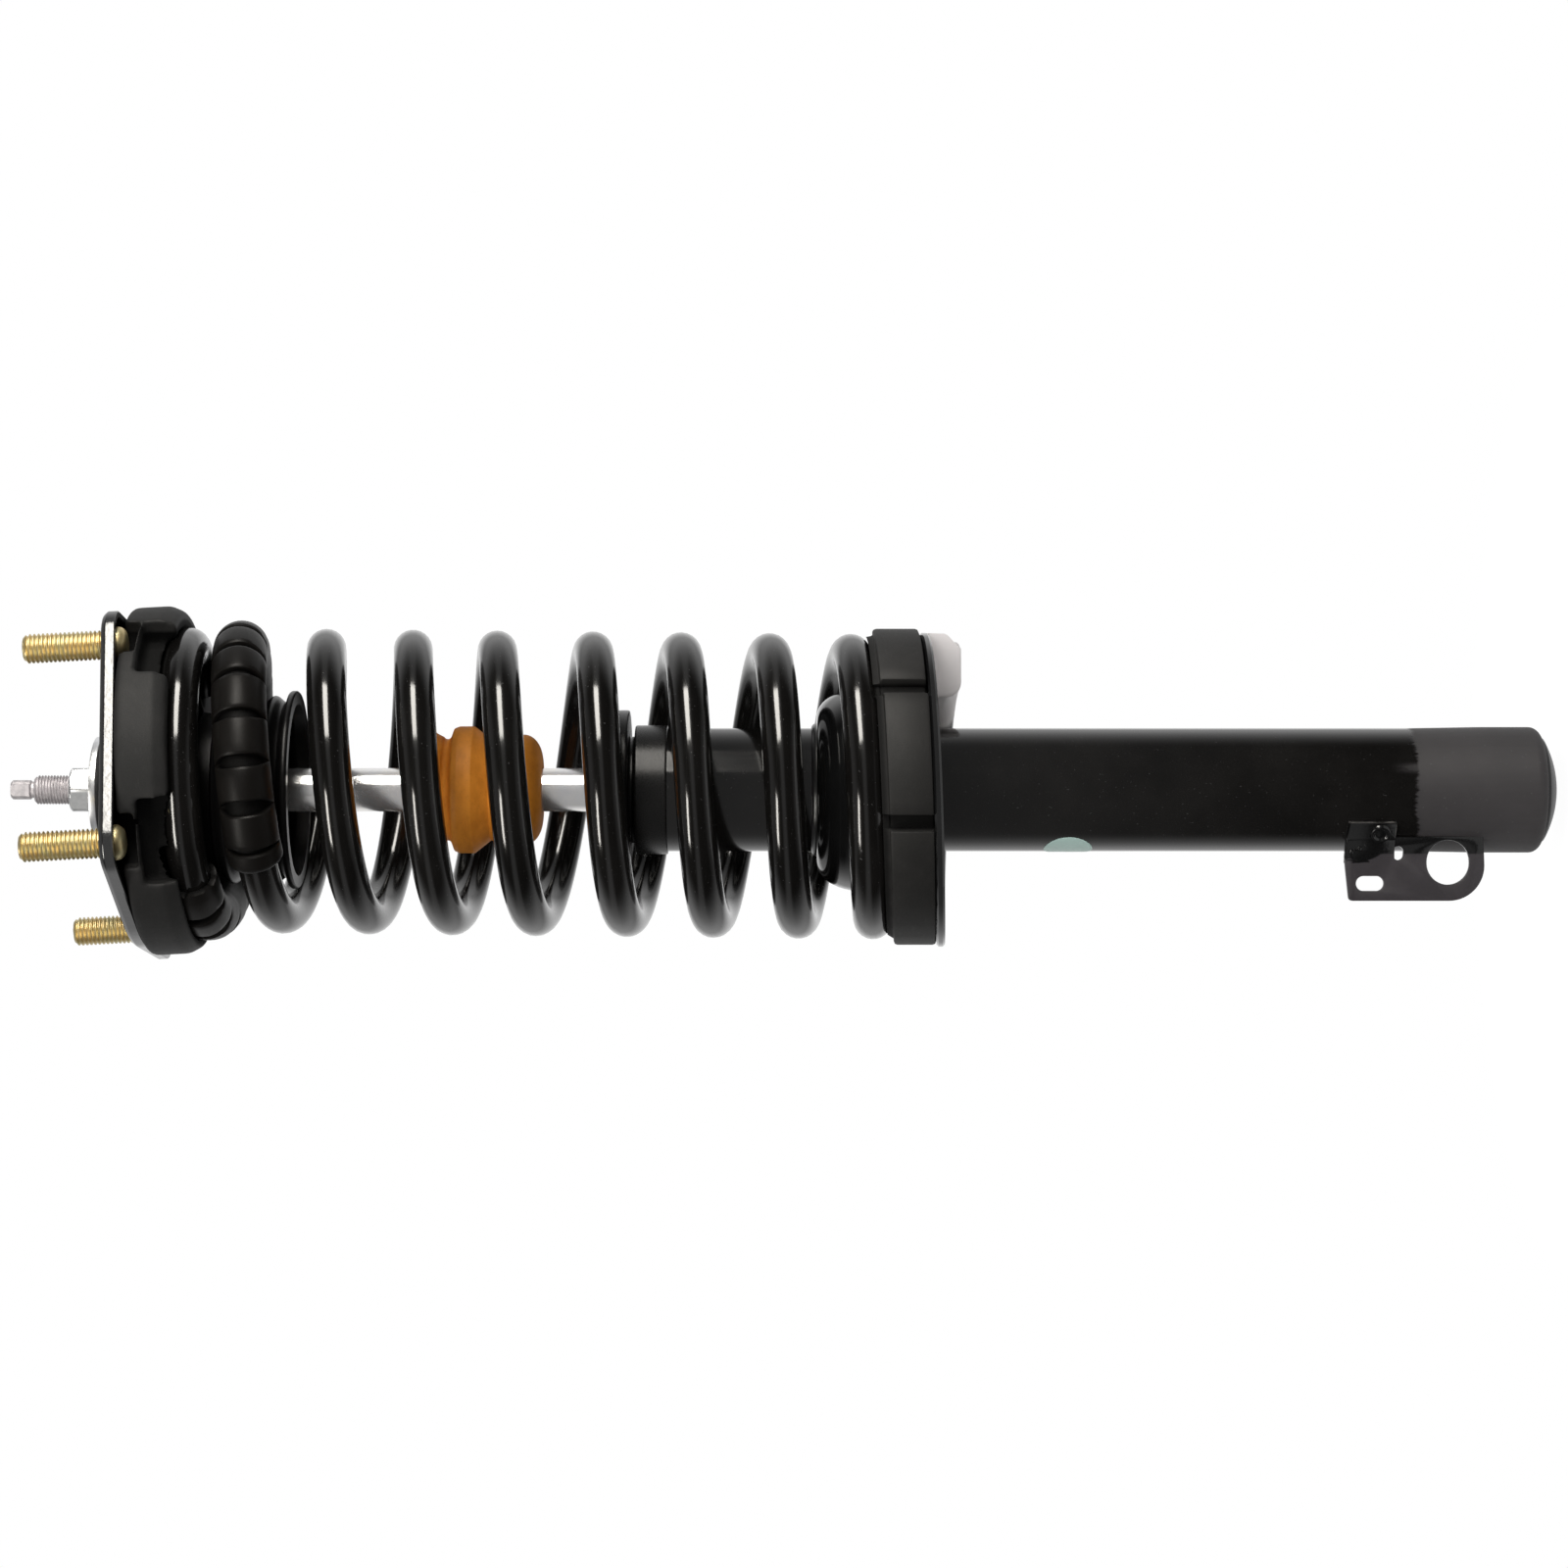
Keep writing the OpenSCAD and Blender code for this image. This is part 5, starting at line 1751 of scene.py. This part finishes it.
@dataclass
class DamperTube(SubAssembly):
    """The reserve tube with its caps, the bracket, the label and the seal inside."""

    tube_r: float = 25.5
    clamp_r: float = 26.0
    wall: float = 2.0
    top_z: float = -211.0
    end_z: float = -579.0
    end_h: float = 4.5
    dome_h: float = 6.0
    cap_r: float = 33.0
    cap_top: float = -202.4
    plane_y: float = -16.0
    bracket_top: float = -501.5
    bracket_l: float = 56.5
    reach: float = 45.5
    tab_corner: float = 14.5
    sheet: float = 3.0
    ear_t: float = 2.4
    ear_l: float = 20.0
    ear_azimuths: tuple[float, float] = (-119.4, -139.0)
    spot_azimuth: float = -130.2
    spot_z: float = -514.9
    lumps: int = 6
    lump_at: Point = (-25.4, -17.4, -503.4)
    label_r: float = 10.0
    label_z: float = -388.0
    label_azimuth: float = -162.0

    def build(self) -> None:
        """Builds every piece of the tube."""
        self.tube()
        self.base()
        self.striker()
        self.seal()
        self.bracket()
        self.label()

    @property
    def base_z(self) -> float:
        """Height of the tube's lower edge."""
        return self.end_z - self.end_h

    @property
    def base_r(self) -> float:
        """Radius of the plate in the tube's lower end."""
        return self.clamp_r - self.end_h * 0.72 - 0.8

    def tube(self) -> None:
        """The outer tube: a rolled lip at the top, a sized band and a rounded end below."""
        r, big, bore = self.tube_r, self.clamp_r, self.tube_r - self.wall
        base, cap, lip = self.base_z, self.base_r, bore - 4
        outline = [(lip, self.top_z - 0.4), (lip + 0.4, self.top_z)]
        outline += arc(r - 1.5, self.top_z - 1.5, 1.5, 90, 0, 5)
        outline += [(r, -400), (r, -530), (r + 0.25, -545), (big, -559)]
        outline += arc(big - self.end_h, self.end_z, self.end_h, 0, -72, 10)
        outline += [(cap + 0.3, base), (cap, base + 0.4), (cap, base + 6)]
        outline += [(bore, base + 9), (bore, self.top_z - 2.2), (lip, self.top_z - 2.2)]
        tube = self.bench.turn("tube_visual", outline, 160)
        self.place(tube, Body.TUBE, Slot.GLOSS_BLACK, Coat.TUBE, "reserve_tube")

    def base(self) -> None:
        """The domed plate in the tube's lower end, with the bead that holds it."""
        base, r = self.base_z, self.base_r
        ball = (r * r + self.dome_h**2) / (2 * self.dome_h)
        half = math.degrees(math.asin((r - 1.2) / ball))
        outline = [(0, base + 7), (r - 0.8, base + 7), (r, base + 6.2), (r, base - 0.3)]
        outline += [(r - 0.4, base - 1.0)]
        outline += arc(0, base - 0.8 - self.dome_h + ball, ball, half - 90, -90, 14)
        cap = self.bench.turn("base_cap_visual", outline, 128, closed=False)
        self.place(cap, Body.TUBE, Slot.GLOSS_BLACK, Coat.BASE, "base_cap")

    def striker(self) -> None:
        """The flanged cap that the bumper strikes."""
        top, low, r = self.cap_top, self.top_z, self.cap_r
        bore, neck, skirt = 10.0, 22.0, self.tube_r + 1.2
        outline = [(bore, top), (r, top), (r, top - 4.8), (neck, top - 4.8), (neck, low + 1.4)]
        outline += [(skirt, low + 1.4), (skirt, low - 12), (self.tube_r, low - 12)]
        outline += [(self.tube_r, low), (bore, low)]
        cap = self.bench.turn("striker_cap_visual", rounded(outline, 0.9), 128)
        self.place(cap, Body.TUBE, Slot.PLASTIC, Coat.CAP, "striker_cap", sharp=40)

    def seal(self) -> None:
        """The rod seal, with a lip on the rod and a groove round it."""
        bore, top, low = self.tube_r - self.wall, self.top_z - 2.2, self.top_z - 6.7
        outline = [(9.05, top - 1.6), (9.6, top - 0.3), (11.5, top), (12.5, top - 1.2)]
        outline += [(14, top - 1.2), (15, top), (bore, top), (bore, low), (10, low)]
        outline += [(9.2, low + 1)]
        seal = self.bench.turn("rod_seal_visual", rounded(outline, 0.3), 96)
        self.place(seal, Body.TUBE, Slot.RUBBER, Coat.SEAL, "rod_seal", sharp=40)

    def bracket(self) -> None:
        """The sheet bracket: a tab with three holes, an ear on the tube and its spot weld."""
        top, far, inner = self.bracket_top, -self.reach, -19.2
        low = top - self.bracket_l
        edge, r = [(inner, low + 0.4)], self.tab_corner
        edge += arc(far + r, low + r, r, -90, -180, 14)
        edge += arc(far + 1.6, top - 2.4, 1.6, 180, 90, 4)
        edge += [(-self.tube_r - 2, top + 0.9), (-24, top + 0.6), (inner, top)]

        def slot(x: float, z: float, long: float, wide: float, along: bool) -> Outline:
            """A hole with two round ends, long in height or across the tab."""
            half, r = (long - wide) / 2, wide / 2
            ends = arc(0, half, r, 0, 180, 20) + arc(0, -half, r, 180, 360, 20)
            return [(x + a, z + b) if along else (x + b, z + a) for a, b in ends]

        outer = -self.tube_r
        holes = [slot(outer - 4.25, top - 41.6, 18.3, 17.6, False)]
        holes.append(slot(outer - 12.9, top - 9.6, 11.5, 6.1, True))
        holes.append(slot(outer - 0.5, top - 21.2, 5.6, 4.2, False))
        tab = self.bench.plate("bracket_visual", [edge, *holes], self.sheet, 0.35)
        upright = turned(90, "X")
        self.bench.put(tab, moved(0, self.plane_y, 0) @ upright)
        half = self.ear_t / 2
        mid = self.tube_r + half + 0.02
        begin, stop = (math.radians(a) for a in self.ear_azimuths)
        path = [polar(mid, a, 0)[:2] for a in spread(begin, stop, 16)]
        leave = Vector(path[-1])
        path += [
            (leave.x + (-30 - leave.x) * t, leave.y + (self.plane_y - leave.y) * eased(t * 1.6))
            for t in spread(0.12, 1, 9)
        ]
        rings = []
        for k, point in enumerate(path):
            here = Vector(point)
            run = Vector(path[min(k + 1, len(path) - 1)]) - Vector(path[max(k - 1, 0)])
            out = Vector((-run.y, run.x))
            out = out.normalized() * (-1 if here.dot(out) < 0 else 1)
            a, b = here + out * half, here - out * half
            corner = 1.0 * max(0.0, 1 - k / 2.0) ** 2
            z1 = top - 0.2 + 1.1 * k / (len(path) - 1)
            z0 = top - self.ear_l + corner
            rings.append(
                [(a.x, a.y, z1 - 0.4), (a.x, a.y, z0 + 0.4), (b.x, b.y, z0), (b.x, b.y, z1)]
            )
        ear = self.bench.loft("ear", rings)
        self.bench.apply(ear, "BEVEL", width=0.4 * MM, segments=2, limit_method="ANGLE")
        ring = [(0, 0.2), (2.4, 0.1), (3.1, 0.9), (4.0, 0.9), (4.8, -0.4), (0, -0.4)]
        weld = self.bench.turn("spot", rounded(ring, 0.4, closed=False), 32, closed=False)
        spot = turned(self.spot_azimuth) @ moved(self.tube_r + self.ear_t, 0, self.spot_z)
        self.bench.put(weld, spot @ turned(90, "Y"))
        dome = [(0, 0.95), (0.5, 0.85), (0.95, 0.45), (1.15, -0.2), (0, -0.2)]
        lumps = []
        for k in range(self.lumps):
            lump = self.bench.turn("lump", rounded(dome, 0.2, closed=False), 14, closed=False)
            size = 0.75 + 0.35 * math.sin(2.3 * k + 1)
            x, y, z = self.lump_at
            place = moved(x + 0.5 * k, y, z - 1.1 * k) @ upright
            lumps.append(self.bench.put(lump, place @ Matrix.Diagonal((size, size, 1, 1))))
        bracket = self.bench.join(tab, ear, weld, *lumps)
        self.place(bracket, Body.TUBE, Slot.SATIN_BLACK, Coat.BRACKET, "locating_bracket", sharp=35)

    def label(self) -> None:
        """A plain round label, wrapped on the tube."""
        centre = math.radians(self.label_azimuth)

        def line(r: float, lift: float) -> Ring:
            """A circle on the label, lifted off the tube."""
            ring = []
            for k in range(64):
                a = math.tau * k / 64
                turn = centre + r * math.cos(a) / self.tube_r
                ring.append(polar(self.tube_r + lift, turn, self.label_z + r * math.sin(a)))
            return ring

        rings = [line(r, -0.05) for r in (0.4, 4, 7, 9.6)]
        rings += [line(self.label_r, 0.02), line(self.label_r, 0.14)]
        rings += [line(r, 0.2) for r in (9.85, 8, 5, 2.5, 0.4)]
        label = self.bench.loft("label_visual", rings)
        self.place(label, Body.TUBE, Slot.STICKER, Coat.LABEL, "side_label")


@dataclass
class LowerSeat(SubAssembly):
    """The pressed spring seat, its weld and the rubber under the spring.

    They run under the wire from its turn called first to the one called last. The flange steps
    back up over the ramp, a share of a turn. Its rim starts to draw in at the first number of
    drawn_turns, over a share of a turn that is the second.
    """

    helix: Helix = Helix()
    first: int = 8
    last: int = 9
    tube_r: float = 25.5
    sheet: float = 3.5
    flange_r: float = 65.0
    skirt_r: float = 42.0
    hub_r: float = 30.0
    hub_h: float = 18.6
    low_z: float = -341.4
    rise: float = 14.5
    top_z: float = -284.4
    bead_r: float = 2.5
    bead_steps: int = 220
    iso_r: float = 65.5
    iso_bore: float = 44.4
    end_gap: float = 4.6
    first_lift: float = 2.2
    notches: int = 7
    notch_w: float = 6.4
    notch_depth: float = 4.6
    filled: int = 3
    ramp: float = 0.018
    drawn_by: float = 5.0
    drawn_turns: tuple[float, float] = (8.948, 0.032)

    def build(self) -> None:
        """Builds the seat, the weld and the isolator."""
        self.seat()
        self.weld()
        self.isolator()

    def flange_z(self, n: float) -> float:
        """Height of the flange's upper face at a turn of the wire, with the step's ramp."""
        height = self.low_z + self.rise * (self.last - n)
        if n > self.last - self.ramp:
            height += self.rise * eased((n - self.last + self.ramp) / self.ramp)
        return height

    def drawn_in(self, n: float) -> float:
        """How far the rims draw in round the flange's free end."""
        start, over = self.drawn_turns
        share = eased((n - start) / over)
        if n > self.last - self.ramp:
            share = 1 - eased((self.flange_z(n) - self.low_z - 0.3) / 6)
        return self.drawn_by * share

    def seat(self) -> None:
        """The hub, skirt and helical flange, pressed from one sheet."""
        t, skirt, hub, h = self.sheet, self.skirt_r, self.hub_r, self.hub_h
        bore, hub_low = self.tube_r + 0.1, self.top_z - h
        rings = []
        step = self.last - self.ramp
        turns = spread(self.first, step, 150)[:-1] + spread(step, self.last, 14)[:-1]
        for n in turns:
            f, reach = self.flange_z(n), self.flange_r - self.drawn_in(n)
            outline = [(bore, self.top_z), (hub, self.top_z)]
            outline += [
                (hub + (skirt - hub) * math.sin(b), hub_low + h * math.cos(b))
                for b in spread(0.12, math.pi / 2, 12)
            ]
            outline += arc(skirt + 3, f + 3, 3, 180, 270, 5)
            outline += [(reach - 0.9, f), (reach, f - 0.9)]
            outline += [(reach, f - t + 0.9), (reach - 0.9, f - t)]
            outline += arc(skirt + 3, f + 3, 3 + t, 270, 180, 6)
            outline += [
                (hub + (skirt - hub - t) * math.sin(b), hub_low + (h - t) * math.cos(b))
                for b in spread(math.pi / 2, 0.12, 10)
            ]
            outline += [(hub, self.top_z - t), (bore, self.top_z - t)]
            rings.append([polar(r, -math.tau * n, z) for r, z in outline])
        seat = self.bench.loft("spring_seat_visual", rings, loop=True)
        self.place(seat, Body.TUBE, Slot.GLOSS_BLACK, Coat.SEAT, "lower_spring_seat", sharp=40)

    def weld(self) -> None:
        """The uneven bead that holds the hub to the tube."""
        rings = []
        root, foot = self.tube_r - 0.3, self.top_z - 0.3
        for k in range(self.bead_steps):
            a = math.tau * k / self.bead_steps
            r = self.bead_r + 0.3 * noise.noise(Vector((a * 3, 1, 2)))
            bead = [(root, foot), *arc(root, foot, r, 0, 90, 5)]
            rings.append([polar(x, a, z) for x, z in bead])
        weld = self.bench.loft("seat_weld_visual", rings, loop=True)
        self.place(weld, Body.TUBE, Slot.SATIN_BLACK, Coat.WELD, "seat_weld", sharp=60)

    def isolator(self) -> None:
        """The rubber between the flange and the wire, cut by notches into blocks."""
        start, end = self.first, self.last - self.end_gap / (math.tau * self.iso_bore)
        half = self.notch_w / 2 / (math.tau * self.iso_r)
        soft = 0.9 / (math.tau * self.iso_r)
        step = 1 / self.notches
        stations: list[tuple[float, float]] = []
        bounds = [k for k in range(self.notches + 1) if k != self.filled]
        for i, j in zip(bounds, bounds[1:]):
            a, b = start + step * i, start + step * j
            last = j == self.notches
            a0 = a + (half if i else 0.0)
            b0 = end if last else b - half
            stations += [(a0, -1.2), (a0 + soft * 0.35, -0.35), (a0 + soft, 0.0)]
            count = 36 if last else 10
            stations += [(n, 0.0) for n in spread(a0 + soft, b0 - soft, count)[1:-1]]
            stations += [(b0 - soft, 0.0), (b0 - soft * 0.35, -0.35), (b0, -1.2)]
            if not last:
                depth = -self.notch_depth
                stations += [(b0 + soft * 0.2, depth), (b, depth - 0.3)]
                stations += [(b + half - soft * 0.2, depth)]
        wire, helix = self.helix.wire, self.helix
        rings = []
        for n, inset in stations:
            left = self.last - n
            wire_z = helix.height(self.last) + helix.closed * left
            # the first block sits a little higher than the others
            before = eased((start + step + 0.01 - n) / 0.004)
            lift = self.first_lift * before * eased((n - start + 0.01) / 0.03)
            low = self.low_z + self.rise * left + 0.12 + lift * 0.3
            top = wire_z - wire + 2 + lift * 0.5
            r, groove = self.iso_r + inset - self.drawn_in(n), wire + 0.6
            opening = math.acos((wire - 2 - lift * 0.5) / groove)
            section = [(self.iso_bore, low), (r - 1.5, low), (r - 0.4, low + 0.4), (r, low + 1.5)]
            rim = top - 2.6
            section += [(r, rim - 1.4), (r - 0.35, rim - 0.4), (r - 1.2, rim)]
            section += [(helix.radius + wire - 0.2, rim), (helix.radius + wire - 0.6, rim + 0.6)]
            section += [
                (helix.radius + groove * math.sin(b), wire_z - groove * math.cos(b))
                for b in spread(opening, -opening, 11)
            ]
            section = [(min(x, r), z) for x, z in section + [(self.iso_bore, top)]]
            a = -math.tau * n
            side = helix.offset_low
            rings.append([(side + x * math.cos(a), x * math.sin(a), z) for x, z in section])
        rubber = self.bench.loft("lower_isolator_visual", rings)
        self.place(rubber, Body.TUBE, Slot.RUBBER, Coat.LOWER_RUBBER, "lower_isolator", sharp=38)


@dataclass
class CarriedOver(SubAssembly):
    """CAD nodes whose shape is right and that only need their finish."""

    coats: tuple[tuple[str, Coat], ...] = (
        ("bushing_housing", Coat.CUP),
        ("bushing_sleeve", Coat.STEEL),
        ("bumper_cup", Coat.CUP),
        ("stop_ring", Coat.STEEL),
        ("piston", Coat.SINTER),
        ("piston_band", Coat.BRONZE),
        ("piston_valve_discs", Coat.STEEL),
        ("piston_nut", Coat.NUT),
        ("rod_guide", Coat.SINTER),
        ("pressure_tube", Coat.STEEL),
        ("base_valve", Coat.SINTER),
    )

    def dress(self, nodes: dict[str, bpy.types.Object]) -> None:
        """Gives each carried-over node its finish.

        Args:
            nodes: The CAD nodes by name.
        """
        for name, coat in self.coats:
            slots = nodes[name].data.materials
            if not slots:
                slots.append(coat.material())
            for k in range(len(slots)):
                slots[k] = coat.material()
            LOG.info("%s: carried over as %s", name, coat.value.name)


# ---------------------------------------------------------------- studio


@dataclass(frozen=True)
class SoftBox:
    """A soft box, placed by its angles from the camera's direction.

    Lift turns it towards +X and swing towards +Z, both in degrees. A box that only shines draws
    highlights, and one that doesn't only lights.
    """

    name: str
    lift: float
    swing: float
    tall: float
    wide: float
    watts: float
    shines: bool
    away: float = 1.3


@dataclass
class Studio:
    """Camera, lamps, surroundings and floor."""

    camera_at: Point = (0.0024, -1.544, -0.271)
    lens: float = 85.55
    sensor: float = 36.0
    centre: Point = (0.0, 0.0, -0.27)
    floor_z: float = -0.594
    floor_r: float = 0.2
    floor_colour: Colour = (0.86, 0.86, 0.86)
    floor_second: Colour = (0.82, 0.82, 0.82)
    floor_glow: float = 1.13
    ambient: float = 0.42
    warm: Colour = (1.0, 0.965, 0.90)
    boxes: tuple[SoftBox, ...] = (
        SoftBox("streak_high", 55, 14.3, 1.0, 0.46, 28.0, True),
        SoftBox("streak_low", -34, 45, 0.75, 0.2, 10.0, True),
        SoftBox("key", 18, 22, 1.1, 0.9, 15.0, False, 1.5),
    )

    def build(self) -> None:
        """Builds the whole studio."""
        self.camera()
        for box in self.boxes:
            self.soft_box(box)
        self.surroundings()
        self.floor()

    def camera(self) -> None:
        """The camera, level with the strut's middle and turned so that +X is up."""
        data = bpy.data.cameras.new("camera")
        data.sensor_fit = "AUTO"
        data.sensor_width = self.sensor
        data.lens = self.lens
        data.clip_start, data.clip_end = 0.05, 20
        camera = bpy.data.objects.new("camera", data)
        bpy.context.scene.collection.objects.link(camera)
        turn = Matrix(((0, 1, 0), (0, 0, -1), (-1, 0, 0))).to_4x4()
        camera.matrix_world = Matrix.Translation(self.camera_at) @ turn
        bpy.context.scene.camera = camera

    def soft_box(self, box: SoftBox) -> None:
        """Hangs one soft box and points it at the strut."""
        data = bpy.data.lights.new(box.name, "AREA")
        data.shape = "RECTANGLE"
        data.size, data.size_y = box.wide, box.tall
        data.energy = box.watts
        data.color = self.warm if box.shines else WHITE
        item = bpy.data.objects.new(box.name, data)
        bpy.context.scene.collection.objects.link(item)
        lift, swing = math.radians(box.lift), math.radians(box.swing)
        flat = Vector((math.sin(lift), -math.cos(lift), 0))
        way = flat * math.cos(swing) + Vector((0, 0, math.sin(swing)))
        tall = Vector((math.cos(lift), math.sin(lift), 0))
        turn = Matrix((tall.cross(way), tall, way)).transposed().to_4x4()
        item.matrix_world = Matrix.Translation(Vector(self.centre) + way * box.away) @ turn
        item.visible_camera = False
        item.visible_glossy = box.shines
        item.visible_diffuse = not box.shines

    def surroundings(self) -> None:
        """White behind the strut, dark before it but for a strip across the axis."""
        world = bpy.data.worlds.new("surroundings")
        bpy.context.scene.world = world
        world.use_nodes = True
        graph = Graph(world.node_tree)
        way = graph.out(graph.node("ShaderNodeTexCoord"), "Generated")
        x, y, z = graph.axes(way)
        behind = y.band(-0.05, 0.8)
        strip = 1 - abs(z - 0.1).band(0.08, 0.28)
        level = graph.maths("MAXIMUM", abs(x).band(0.2, 0.7), y.band(0.7, 0.95)) * 0.65 + 0.35
        ends = abs(z).band(0.7, 0.95) * 0.3
        shine = behind * level + (1 - behind) * (strip * 0.38 + ends) + 0.01
        rays = graph.node("ShaderNodeLightPath")
        seen, glossy = graph.out(rays, "Is Camera Ray"), graph.out(rays, "Is Glossy Ray")
        clear = graph.out(rays, "Is Transmission Ray")
        level = glossy * shine + (1 - glossy) * self.ambient
        white = graph.maths("MAXIMUM", seen, clear)
        strength = white + (1 - white) * level
        ground = graph.node("ShaderNodeBackground", None, {"Color": WHITE, "Strength": strength})
        graph.node("ShaderNodeOutputWorld", None, {"Surface": graph.out(ground)})

    def floor(self) -> None:
        """A plain pale floor under the strut, which stands on its lower end."""
        bench = Workbench()
        bench.pick()
        bpy.ops.mesh.primitive_circle_add(vertices=96, radius=self.floor_r, fill_type="NGON")
        floor = bench.begin("floor")
        bpy.ops.transform.translate(value=(0, 0, self.floor_z))
        bpy.ops.object.mode_set(mode="OBJECT")
        material = bpy.data.materials.new("pale_floor")
        material.use_nodes = True
        graph = Graph(material.node_tree)
        mottle = graph.grain(90, 3, 0.5)
        tone = graph.blend(mottle.band(0.3, 0.7) * 0.3, self.floor_colour, self.floor_second)
        paint = graph.node("ShaderNodeBsdfDiffuse", None, {"Color": tone})
        glow = graph.node(
            "ShaderNodeEmission", None, {"Color": WHITE, "Strength": self.floor_glow}
        )
        rays = graph.node("ShaderNodeLightPath")
        share = graph.out(rays, "Is Camera Ray") * 0.85 + graph.out(rays, "Is Glossy Ray") * 0.3
        mixed = graph.node(
            "ShaderNodeMixShader", None, {0: share, 1: graph.out(paint), 2: graph.out(glow)}
        )
        graph.node("ShaderNodeOutputMaterial", None, {"Surface": graph.out(mixed)})
        floor.data.materials.append(material)


def main() -> None:
    """Loads the frame, builds every sub-assembly in order and reports each piece."""
    logging.basicConfig(level=logging.INFO, format="%(name)s: %(message)s")
    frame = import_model()
    bpy.context.scene.view_settings.view_transform = "Standard"
    TopMount().build()
    RodAndBumper().build()
    Spring().build()
    DamperTube().build()
    LowerSeat().build()
    CarriedOver().dress(frame["nodes"])
    Studio().build()


if __name__ == "__main__":
    main()
